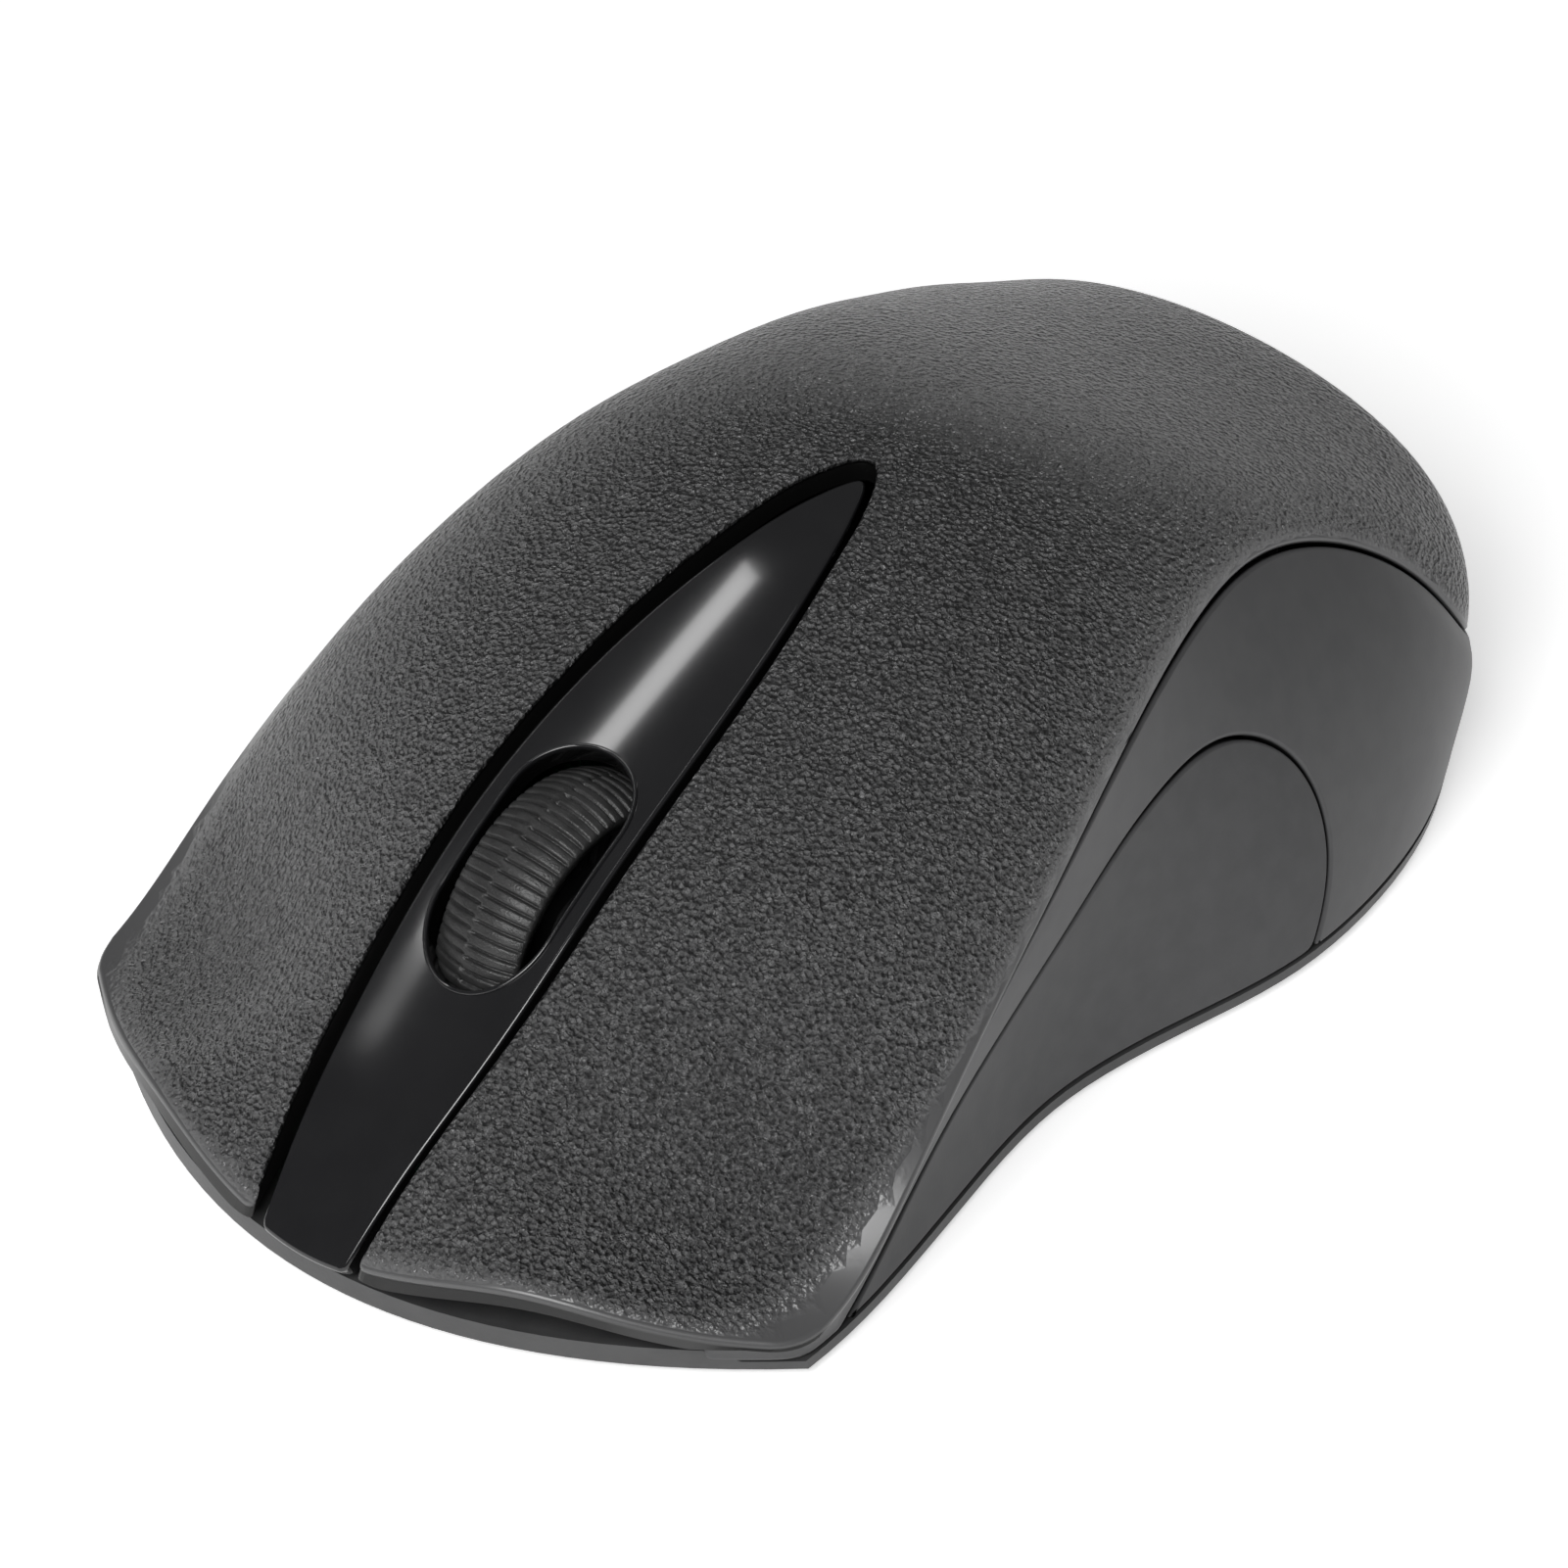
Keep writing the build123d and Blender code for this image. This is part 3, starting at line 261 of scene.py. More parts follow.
def resample(points, step):
    """An open line of points at even steps."""
    s = along(points)
    n = max(2, int(round(s[-1] / step)) + 1)
    q = np.linspace(0, s[-1], n)
    return np.stack([np.interp(q, s, points[:, k]) for k in range(points.shape[1])], -1)


def cut_ends(points, first, last):
    """The line without its first and last stretches."""
    s = along(points)
    q = s[(s > first) & (s < s[-1] - last)]
    q = np.concatenate([[first], q, [s[-1] - last]])
    return np.stack([np.interp(q, s, points[:, k]) for k in range(2)], -1)


def closed_loop(segments, step=0.5):
    """Joins segments (points, edge radius, corner radius at its end) into one loop of points.

    Returns the points, the edge radius at each, and the segment that each belongs to."""
    dense = [resample(np.asarray(points, float), 0.1) for points, _, _ in segments]
    pieces = []
    for k, (points, radius, corner) in enumerate(segments):
        before = segments[k - 1][2]
        after_radius = segments[(k + 1) % len(segments)][1]
        before_radius = segments[k - 1][1]
        first = before if before else (0 if radius >= before_radius else 1.7 * before_radius)
        last = corner if corner else (0 if radius > after_radius else 1.7 * after_radius)
        if not before and radius == before_radius:
            first = 0
        if not corner and radius == after_radius:
            last = step
        body = resample(cut_ends(dense[k], first, last), step)
        pieces.append((body, radius, k))
        if corner:
            following = dense[(k + 1) % len(segments)]
            start = body[-1]
            end = cut_ends(following, corner, 0)[0]
            u = np.linspace(0, 1, max(4, int(corner * 2.2 / step) + 3))[1:-1, None]
            tip = (dense[k][-1] + following[0]) / 2
            arc = start * (1 - u)**2 + 2 * tip * u * (1 - u) + end * u**2
            pieces.append((arc, (radius + after_radius) / 2, k + 0.5))
    points = np.concatenate([p for p, _, _ in pieces])
    radii = np.concatenate([np.full(len(p), r) for p, r, _ in pieces])
    owner = np.concatenate([np.full(len(p), k) for p, _, k in pieces])
    return points, radii, owner


def inside(points, loop):
    """Even-odd test of many points against one loop."""
    x, y = points[:, 0], points[:, 1]
    odd = np.zeros(len(points), bool)
    for (x0, y0), (x1, y1) in zip(loop, np.roll(loop, -1, axis=0)):
        if y0 == y1:
            continue
        odd ^= ((y0 > y) != (y1 > y)) & (x < (x1 - x0) * (y - y0) / (y1 - y0) + x0)
    return odd


STENCIL = 0.04
MIDDLE = np.array([0, 0, 5.0])


def normals_of(surface, q):
    """Unit normals, turned away from the middle of the mouse; they could flip at the tail's pole."""
    da, dv = np.array([STENCIL, 0]), np.array([0, STENCIL])
    n = np.cross(surface(q + da) - surface(q - da), surface(q + dv) - surface(q - dv))
    outward = np.sign((n * (surface(q) - MIDDLE)).sum(-1, keepdims=True))
    return n * outward / np.maximum(np.linalg.norm(n, axis=-1, keepdims=True), 1e-12)


def unit(v):
    return v / np.maximum(np.linalg.norm(v, axis=-1, keepdims=True), 1e-12)


def make_mesh(name, points, faces, normals=None, **values):
    """Mesh object from millimetre points. normals has one row per face corner; values are attributes."""
    mesh = bpy.data.meshes.new(name)
    mesh.from_pydata([tuple(p) for p in points * 0.001], [], [tuple(int(i) for i in f) for f in faces])
    mesh.polygons.foreach_set("use_smooth", [True] * len(mesh.polygons))
    if normals is not None:
        mesh.normals_split_custom_set([tuple(n) for n in normals])
    for key, value in values.items():
        mesh.attributes.new(key, "FLOAT", "POINT").data.foreach_set("value", value)
    mesh.update()
    obj = bpy.data.objects.new(name, mesh)
    bpy.context.scene.collection.objects.link(obj)
    return obj


def slab(name, surface, loops, inner, spacing=1.0, rings=4, shade=None):
    """A closed sheet: the surface inside the first loop and outside the others, with rounded edges
    and an inner face. loops are lists of segments for closed_loop."""
    outline = [closed_loop(s) for s in loops]
    edge_q = np.concatenate([o[0] for o in outline])
    reach = max(o[1].max() for o in outline) + 0.55 * spacing
    low, high = edge_q.min(0), edge_q.max(0)
    row = spacing * math.sqrt(3) / 2
    grid = []
    for k, b in enumerate(np.arange(low[1], high[1], row)):
        a = np.arange(low[0] + (k % 2) * spacing / 2, high[0], spacing)
        grid.append(np.stack([a, np.full_like(a, b)], -1))
    grid = np.concatenate(grid)
    keep = inside(grid, outline[0][0])
    for o in outline[1:]:
        keep &= ~inside(grid, o[0])
    grid = grid[keep]
    near = np.full(len(grid), 1e9)
    for chunk in np.array_split(edge_q, max(1, len(edge_q) // 200)):
        near = np.minimum(near, np.linalg.norm(grid[:, None] - chunk[None], axis=2).min(1))
    grid = grid[near > reach]
    q = np.concatenate([edge_q, grid])
    edges = []
    start = 0
    spans = []
    for o in outline:
        n = len(o[0])
        edges += [(start + i, start + (i + 1) % n) for i in range(n)]
        spans.append((start, n))
        start += n
    _, _, faces, origin, _, _ = delaunay_2d_cdt([Vector(p) for p in q], edges, [], 2, 1e-7)
    to_old = [o[0] if o else -1 for o in origin]
    if min(to_old) < 0:
        raise ValueError(f"{name}: outline crosses itself")
    faces = np.array([[to_old[i] for i in f] for f in faces])
    for o in outline[1:]:
        faces = faces[~inside(q[faces].mean(1), o[0])]
    a, b, c = q[faces[:, 0]], q[faces[:, 1]], q[faces[:, 2]]
    ab, ac = b - a, c - a
    turned = ab[:, 0] * ac[:, 1] - ab[:, 1] * ac[:, 0] < 0
    faces[turned] = faces[turned][:, ::-1]
    position, normal = surface(q), normals_of(surface, q)
    total = len(q)
    points = [position.copy()]
    smooth = [normal]
    quads = []
    count = total
    shades = [np.zeros(total) if shade is None else shade(position, q)]
    depths = [np.zeros(total)]
    inner_points = inner(position, normal, q)
    inner_edge = {}
    for (start, n), (_, radii, owner) in zip(spans, outline):
        ids = np.arange(start, start + n)
        p, m = position[ids], normal[ids]
        ahead, back = np.roll(p, -1, 0), np.roll(p, 1, 0)
        same_ahead = np.abs(np.roll(owner, -1) - owner) < 0.6
        same_back = np.abs(np.roll(owner, 1) - owner) < 0.6
        same_ahead |= np.abs(np.roll(owner, -1) - owner) > owner.max() - 0.6
        same_back |= np.abs(np.roll(owner, 1) - owner) > owner.max() - 0.6
        soft_ahead = same_ahead | (np.roll(radii, -1) == radii)
        soft_back = same_back | (np.roll(radii, 1) == radii)
        tangent = np.where(soft_ahead[:, None], ahead, p) - np.where(soft_back[:, None], back, p)
        out = unit(np.cross(unit(tangent), m))
        r = radii[:, None]
        points[0][ids] = p - out * r
        previous = ids
        for k in range(1, rings + 1):
            angle = k / rings * math.pi / 2
            ring = points[0][ids] + out * r * math.sin(angle) - m * r * (1 - math.cos(angle))
            points.append(ring)
            smooth.append(m * math.cos(angle) + out * math.sin(angle))
            shades.append(shades[0][ids])
            # seam_depth: 0 on the top, rising to 1 on the wall inside the seam; it masks the painted
            # seam shade and fades the cover's grain
            depths.append(np.full(n, max(0.0, (k - rings + 1.5) / 1.5)))
            current = np.arange(count, count + n)
            count += n
            for i in range(n):
                j = (i + 1) % n
                quads.append((previous[j], previous[i], current[i], current[j]))
            previous = current
        inner_edge[start] = (previous, ids, out)
    base = count
    points.append(inner_points)
    shades.append(np.ones(total))
    # seam_depth 1 on the inner face, so it takes the painted near-black shade
    depths.append(np.ones(total))
    smooth.append(-normal)
    for (start, n), _ in zip(spans, outline):
        previous, ids, out = inner_edge[start]
        for i in range(n):
            j = (i + 1) % n
            quads.append((previous[j], previous[i], base + ids[i], base + ids[j]))
    points = np.concatenate(points)
    smooth = np.concatenate(smooth)
    side_quads = len(quads)
    all_faces = [tuple(f) for f in faces] + quads + [tuple(base + f[::-1]) for f in faces]
    corner_normals = []
    out_of = np.zeros((len(points), 3))
    for start, (previous, ids, out) in inner_edge.items():
        out_of[base + ids] = out
        out_of[previous] = out
    first_wall = len(faces) + side_quads - sum(n for _, n in spans)
    for k, f in enumerate(all_faces):
        wall = first_wall <= k < len(faces) + side_quads
        corner_normals += [out_of[i] if wall else smooth[i] for i in f]
    return make_mesh(name, points, all_faces, corner_normals,
                     smooth_edge=np.concatenate(shades), seam_depth=np.concatenate(depths))


# ------------------------------------------------------------------ outlines of the pieces
def chord_curve(points, count=400):
    """Smooth curve through points, as many points along it."""
    points = np.asarray(points, float)
    s = along(points)
    return smooth_through(s, points)(np.linspace(0, s[-1], count))


def shifted(points, distance):
    """A line moved square to itself, to the left of its travel."""
    points = np.asarray(points, float)
    ahead = np.concatenate([points[1:], points[-1:]])
    back = np.concatenate([points[:1], points[:-1]])
    run = unit(ahead - back)
    return points + distance * np.stack([-run[:, 1], run[:, 0]], -1)


LEAF = [(4.4, -54.0), (6.2, -43.0), (7.05, -34.0), (7.15, -24.5), (6.65, -15.0), (5.5, -6.0),
        (3.9, 1.6), (2.3, 6.6), (0, TIP_Y)]


def leaf(gap=0.0):
    """Opening of the centre spine in plan, from the nose up the +X edge, round the tip and back."""
    right = shifted(LEAF, gap)
    right[-1] = (0, TIP_Y - gap)
    left = right[-2::-1] * (-1, 1)
    curve = chord_curve(np.concatenate([right, left]), 900)
    return curve[curve[:, 1] > nose_line(curve[:, 0])]


def on_top(curve):
    return top_at(curve[:, 0], curve[:, 1])


SPLIT_V = float(v_of_y(SPLIT_Y))
TAIL_V = LAST - 0.4        # heights are read no nearer to the pole than this
COVER_END_V = LAST - 0.03  # the cover closes almost at the tail's pole
HAIR, SEAM_R, LIP_R, GROOVE_R = 0.02, 0.35, 0.5, 0.4     # edge radii of the cover
_seam_nose = TABLE_Y - nose_line(section(TABLE_V)[:, 1])
SEAM_NOSE_V = float(np.interp(0, _seam_nose[:200], TABLE_V[:200]))
SEAM_NOSE_X = float(section(np.array([SEAM_NOSE_V]))[0, 1])


def seam_line(v0, v1, sign=1):
    """The cover's side edge between two stations."""
    v = np.linspace(v0, v1, 300)
    return np.stack([sign * half_width(v), v], -1)


def button_segments():
    edge = leaf()
    right = edge[(edge[:, 0] > 0)]
    front = right[right[:, 1] < SPLIT_Y][::-1]
    x = np.linspace(right[0, 0], SEAM_NOSE_X, 200)
    nose = on_top(np.stack([x, nose_line(x)], -1))
    nose[-1] = (half_width(SEAM_NOSE_V), SEAM_NOSE_V)
    groove = on_top(front)
    seam = seam_line(SEAM_NOSE_V, SPLIT_V)
    split = np.stack([np.linspace(seam[-1, 0], groove[0, 0], 60), np.full(60, SPLIT_V)], -1)
    groove[0] = split[-1]
    return [(nose, LIP_R, 2.2), (seam, SEAM_R, 0), (split, HAIR, 0), (groove, GROOVE_R, 0.9)]


def palm_segments():
    edge = leaf()
    tip = on_top(edge[edge[:, 1] > SPLIT_Y])[::-1]
    left = seam_line(COVER_END_V, SPLIT_V, -1)
    right = seam_line(SPLIT_V, COVER_END_V)
    tip[0, 1] = tip[-1, 1] = SPLIT_V
    split_left = np.stack([np.linspace(left[-1, 0], tip[0, 0], 60), np.full(60, SPLIT_V)], -1)
    split_right = np.stack([np.linspace(tip[-1, 0], right[0, 0], 60), np.full(60, SPLIT_V)], -1)
    end = np.stack([np.linspace(right[-1, 0], left[0, 0], 8), np.full(8, COVER_END_V)], -1)
    return [(split_left, HAIR, 0), (tip, GROOVE_R, 0), (split_right, HAIR, 0), (right, SEAM_R, 0),
            (end, SEAM_R, 0), (left, SEAM_R, 0)]


def cover_inner(position, normal, q):
    """Inside of the cover: 2 mm in and flat over the side frame; a thin upright lip at the nose."""
    seam_z = section(q[:, 1])[:, 2]
    w = np.clip((position[:, 1] - nose_line(position[:, 0])) / 4, 0, 1)[:, None]
    w = w * w * (3 - 2 * w)
    down = unit(-normal * w - np.array([0, 0, 1.0]) * (1 - w))
    room = (position[:, 2] - seam_z) / np.maximum(-down[:, 2], 0.1)
    return position + down * np.clip(room, 0.55, 1.1 + 0.9 * w[:, 0])[:, None]


def cover_shade(position, q):
    """1 on the smooth band by the side edge and the lip, 0 on the grained middle."""
    from_seam = half_width(q[:, 1]) - np.abs(q[:, 0])
    from_nose = position[:, 1] - nose_line(position[:, 0])
    band = np.clip((4.0 - from_seam) / 2.4, 0, 1)
    lip = np.clip((1.4 - from_nose) / 0.9, 0, 1)
    corner = np.clip((6.0 - np.hypot(from_seam, from_nose)) / 3.6, 0, 1)
    return np.maximum.reduce([band, lip, corner])


def thick(depth):
    return lambda position, normal, q: position - normal * depth


def mirrored(obj, name):
    """Copy of a piece mirrored across the middle plane."""
    mesh = obj.data
    points = np.array([v.co for v in mesh.vertices]) * (-1000, 1000, 1000)
    faces = [tuple(p.vertices)[::-1] for p in mesh.polygons]
    corner = np.array([n.vector for n in mesh.corner_normals]) * (-1, 1, 1)
    starts = [(p.loop_start, p.loop_total) for p in mesh.polygons]
    normals = [corner[s + n - 1 - k] for s, n in starts for k in range(n)]
    values = {}
    for key in ("smooth_edge", "seam_depth"):
        values[key] = np.zeros(len(mesh.vertices))
        mesh.attributes[key].data.foreach_get("value", values[key])
    return make_mesh(name, points, faces, normals, **values)


left_button = slab("left_button_skin", top, [button_segments()], cover_inner, shade=cover_shade)
right_button = mirrored(left_button, "right_button_skin")
palm = slab("palm_cover_skin", top, [palm_segments()], cover_inner, shade=cover_shade)


# ------------------------------------------------------------------ side frame and grips
SEAM_GAP, SEAM_GAP_NOSE = 0.25, 0.85


def gap_under_cover(y):
    """Height of the dark gap, wider towards the nose, where the buttons travel."""
    share = np.maximum(0, (SPLIT_Y - y) / (SPLIT_Y - NOSE_Y))
    return SEAM_GAP + (SEAM_GAP_NOSE - SEAM_GAP) * share


FIN = [(-38.0, -1.0), (-30.4, 2.7), (-24.8, 5.3), (-18.5, 8.3), (-11.6, 11.3), (-4.5, 15.1),
       (1.6, 18.5), (8.4, 20.5), (14.6, 20.3), (20.6, 15.7), (21.6, 8.5), (17.0, -1.0)]


def fin(clearance, floor):
    """Outline of a grip in (along, up), from its front foot over the top to its rear foot."""
    curve = chord_curve(shifted(FIN, clearance), 700)
    curve = curve[curve[:, 1] > floor]
    return side_at(curve[:, 0], curve[:, 1])


FRONT_P = CORNER_V - (CORNER_X - STRIP_X) / WRAP_SLOPE


def edge_line(p0, p1, height):
    """Line along the side surface at a height given by height(v)."""
    p = np.linspace(p0, p1, 900)
    v = np.clip(LAST - np.abs(p - LAST), CORNER_V, TAIL_V)
    return np.stack([p, height(v)], -1)


def frame_top_height(v):
    c = section(v)
    return up_at(v, c[:, 2] - gap_under_cover(c[:, 0]))


def frame_foot_height(v):
    return up_at(v, np.full_like(v, WALL_Z))


def flip_side(curve):
    return np.stack([2 * LAST - curve[::-1, 0], curve[::-1, 1]], -1)


RIM_R = 0.35
GRIP_RIM_R = 0.3
FIN_CLEARANCE = 0.14
GRIP_CLEARANCE = 0.12
GRIP_FOOT_Z = WALL_Z + 0.1


def frame_segments():
    hole = fin(FIN_CLEARANCE, WALL_Z)
    far_hole = flip_side(hole)
    foot = []
    for start, end in ((FRONT_P, hole[0, 0]), (hole[-1, 0], far_hole[0, 0]),
                       (far_hole[-1, 0], 2 * LAST - FRONT_P)):
        foot.append(edge_line(start, end, frame_foot_height))
    crest = edge_line(2 * LAST - FRONT_P, FRONT_P, frame_top_height)
    near_end = np.array([crest[-1], foot[0][0]])
    far_end = np.array([foot[2][-1], crest[0]])
    outline = ((foot[0], 0.5), (hole, 0.5), (foot[1], 0.5), (far_hole, 0.5),
               (foot[2], 0.7), (far_end, 0.7), (crest, 0.7), (near_end, 0.7))
    return [(line, RIM_R, corner) for line, corner in outline]


def grip_segments():
    edge = fin(-GRIP_CLEARANCE, GRIP_FOOT_Z)
    p = np.linspace(edge[0, 0], edge[-1, 0], 300)
    foot = np.stack([p, up_at(p, np.full_like(p, GRIP_FOOT_Z))], -1)
    return [(foot, GRIP_RIM_R, 0.8), (edge[::-1], GRIP_RIM_R, 0.8)]


side_frame = slab("side_frame_skin", side, [frame_segments()], thick(1.6), spacing=1.1)
left_grip = slab("left_grip_skin", side, [grip_segments()], thick(1.3), spacing=1.1)
right_grip = mirrored(left_grip, "right_grip_skin")


# ------------------------------------------------------------------ centre spine
SLOT_Y, SLOT_LENGTH, SLOT_WIDTH = -27.5, 16.9, 9.4
SPINE_HALF = 7.5           # half-width over which the hollow is measured
SPINE_SINK = 0.35          # spine edge below the cover surface
SPINE_DISH = 0.45          # hollow across the spine
SPINE_GAP = 0.9            # black gap around the spine
_y = np.linspace(NOSE_Y, 12, 300)
_edge_z = top(top_at(np.full(300, SPINE_HALF), _y))[:, 2] - SPINE_SINK


def spine(q):
    """Surface of the spine over (x, distance along)."""
    x, v = q[..., 0], q[..., 1]
    y = np.interp(v, TABLE_V, TABLE_Y)
    z = np.interp(y, _y, _edge_z) - SPINE_DISH * (1 - (x / SPINE_HALF)**2)
    return np.stack([x, y, z], -1)


def plan_to_spine(curve):
    return np.stack([curve[:, 0], v_of_y(curve[:, 1])], -1)


def stadium(length, width, count=240):
    """Outline of a rounded slot in plan, anticlockwise, starting at its rear end."""
    r = width / 2
    straight = length - width
    a = np.linspace(0, math.pi, count // 4)
    rear = np.stack([r * np.cos(a), SLOT_Y + straight / 2 + r * np.sin(a)], -1)
    front = np.stack([-r * np.cos(a), SLOT_Y - straight / 2 - r * np.sin(a)], -1)
    loop = np.concatenate([rear, front, rear[:1]])
    return resample(loop, along(loop)[-1] / count)[:-1]


def spine_segments():
    edge = leaf(SPINE_GAP)
    x = np.linspace(edge[-1, 0], edge[0, 0], 60)
    nose = np.stack([x, nose_line(x) + 0.05], -1)
    return [(plan_to_spine(nose), 0.45, 0.6), (plan_to_spine(edge), 0.28, 0.6)]


def slot_segments():
    loop = stadium(SLOT_LENGTH, SLOT_WIDTH)[::-1]
    loop = np.concatenate([loop, loop[:1]])
    return [(plan_to_spine(loop), 0.2, 0)]


centre_spine = slab("centre_spine_skin", spine, [spine_segments(), slot_segments()], thick(1.6),
                    spacing=0.9)


def loft_rings(name, rows):
    """Mesh through closed rings of points, the last ring joined to the first."""
    n, m = rows.shape[:2]
    faces = []
    for i in range(n):
        j = (i + 1) % n
        for k in range(m):
            after = (k + 1) % m
            faces.append((i * m + k, i * m + after, j * m + after, j * m + k))
    return make_mesh(name, rows.reshape(-1, 3), faces)


LIP_HALF, LIP_RISE = 0.18, 0.30


def slot_lip():
    """Raised polished lip round the wheel slot."""
    path = stadium(SLOT_LENGTH + 2 * LIP_HALF, SLOT_WIDTH + 2 * LIP_HALF, 200)
    q = plan_to_spine(path)
    centre, normal = spine(q), normals_of(spine, q)
    tangent = unit(np.roll(centre, -1, 0) - np.roll(centre, 1, 0))
    out = unit(np.cross(tangent, normal))
    angle = np.linspace(0, 2 * math.pi, 16, endpoint=False)
    wide = LIP_HALF * np.sign(np.cos(angle)) * np.abs(np.cos(angle))**0.7
    tall = LIP_RISE * np.sign(np.sin(angle)) * np.abs(np.sin(angle))**0.7 - 0.1
    rings = (centre[:, None] + out[:, None] * wide[None, :, None]
             + normal[:, None] * tall[None, :, None])
    return loft_rings("slot_lip", rings)


lip = slot_lip()

# ------------------------------------------------------------------ scroll wheel
WHEEL_Y, WHEEL_Z, WHEEL_R = -23.6, 14.1, 11.39
TYRE_HALF, TYRE_SEAT_R = 3.5, 9.65
RIBS = 76


def tyre():
    """Tyre with fine cross ribs, staggered at the middle, each with a small moulding nub."""
    around, across = RIBS * 14, 45
    x = np.linspace(-1, 1, across)
    crown = WHEEL_R - 0.95 * np.abs(x)**2.4
    jitter = rng.normal(0, 0.035, RIBS + 1)
    depth = 0.34 + rng.uniform(-0.07, 0.05, RIBS + 1)
    nub = np.clip(rng.normal(0.20, 0.12, RIBS + 1), 0, 0.36)
    foot_x = np.array([1, 1, -1, -1]) * TYRE_HALF
    foot_r = np.array([10.2, TYRE_SEAT_R, TYRE_SEAT_R, 10.2])
    rows = []
    for angle in np.linspace(0, 2 * math.pi, around, endpoint=False):
        turn = angle / (2 * math.pi) * RIBS + np.where(x > -0.12, 0.22, 0.0)
        k = np.floor(turn).astype(int) % RIBS
        u = turn - np.floor(turn) + jitter[k] - 0.5
        groove = np.exp(-np.abs(u / 0.115)**1.6) * np.clip((1.03 - np.abs(x)) / 0.08, 0, 1)
        bead = np.exp(-((x + 0.12) / 0.05)**2 - (u / 0.16)**2)
        r = crown - depth[k] * groove + nub[k] * bead
        ring_x = np.concatenate([x * (TYRE_HALF - 0.05), foot_x])
        ring_r = np.concatenate([r, foot_r])
        rows.append(np.stack([ring_x, WHEEL_Y + ring_r * math.sin(angle),
                              WHEEL_Z + ring_r * math.cos(angle)], -1))
    return loft_rings("tyre_ribbed", np.array(rows))


wheel_tyre = tyre()


# ------------------------------------------------------------------ materials
def node(tree, kind, **values):
    """A shader node with these inputs or settings."""
    n = tree.nodes.new(kind)
    for key, value in values.items():
        if key in n.inputs:
            n.inputs[key].default_value = value
        else:
            setattr(n, key, value)
    return n


def base_material(name, rough, **sockets):
    """A Principled material; also returns its tree, its shader and object coordinates."""
    mat = bpy.data.materials.new(name)
    mat.use_nodes = True
    tree = mat.node_tree
    shader = tree.nodes["Principled BSDF"]
    shader.inputs["Roughness"].default_value = rough
    for key, value in sockets.items():
        shader.inputs[key.replace("_", " ")].default_value = value
    place = node(tree, "ShaderNodeTexCoord")
    return mat, tree, shader, place.outputs["Object"]


def mottled(tree, place, dark, light, scale):
    """Slight variation between two colours."""
    noise = node(tree, "ShaderNodeTexNoise", Scale=scale, Detail=3.0)
    tree.links.new(place, noise.inputs["Vector"])
    ramp = node(tree, "ShaderNodeValToRGB")
    ramp.color_ramp.elements[0].position = 0.35
    ramp.color_ramp.elements[1].position = 0.65
    ramp.color_ramp.elements[0].color = (*dark, 1)
    ramp.color_ramp.elements[1].color = (*light, 1)
    tree.links.new(noise.outputs["Fac"], ramp.inputs["Fac"])
    return ramp.outputs["Color"]


def paint_seam_shade(tree, shader, color):
    """Painted shade: the colour of the walls inside a seam, and of a piece's inner face, falls to near
    black with seam_depth, standing in for the shade in the gap.
    """
    depth = node(tree, "ShaderNodeAttribute", attribute_name="seam_depth")
    mix = node(tree, "ShaderNodeMix", data_type="RGBA")
    tree.links.new(depth.outputs["Fac"], mix.inputs["Factor"])
    tree.links.new(color, mix.inputs["A"])
    # near-black colour of the painted seam shade
    mix.inputs["B"].default_value = (0.004, 0.004, 0.004, 1)
    tree.links.new(mix.outputs["Result"], shader.inputs["Base Color"])


def bump(tree, shader, height, strength, distance):
    b = node(tree, "ShaderNodeBump", Strength=strength, Distance=distance)
    tree.links.new(height, b.inputs["Height"])
    tree.links.new(b.outputs["Normal"], shader.inputs["Normal"])


def plastic(name, dark, light, rough=0.5, scale=900, grain=0.15, size=0.00006, **sockets):
    """Moulded plastic: faint mottling and a fine surface grain."""
    mat, tree, shader, place = base_material(name, rough, **sockets)
    # mottled colour, with painted near-black shade in the seams
    paint_seam_shade(tree, shader, mottled(tree, place, dark, light, scale / 3))
    noise = node(tree, "ShaderNodeTexNoise", Scale=scale * 3, Detail=2.0)
    tree.links.new(place, noise.inputs["Vector"])
    bump(tree, shader, noise.outputs["Fac"], grain, size)
    return mat


def math_node(tree, operation, *values):
    """A maths node; each value is a number or another node's output."""
    n = node(tree, "ShaderNodeMath", operation=operation)
    for socket, value in zip(n.inputs, values):
        if isinstance(value, (int, float)):
            socket.default_value = value
        else:
            tree.links.new(value, socket)
    return n.outputs["Value"]


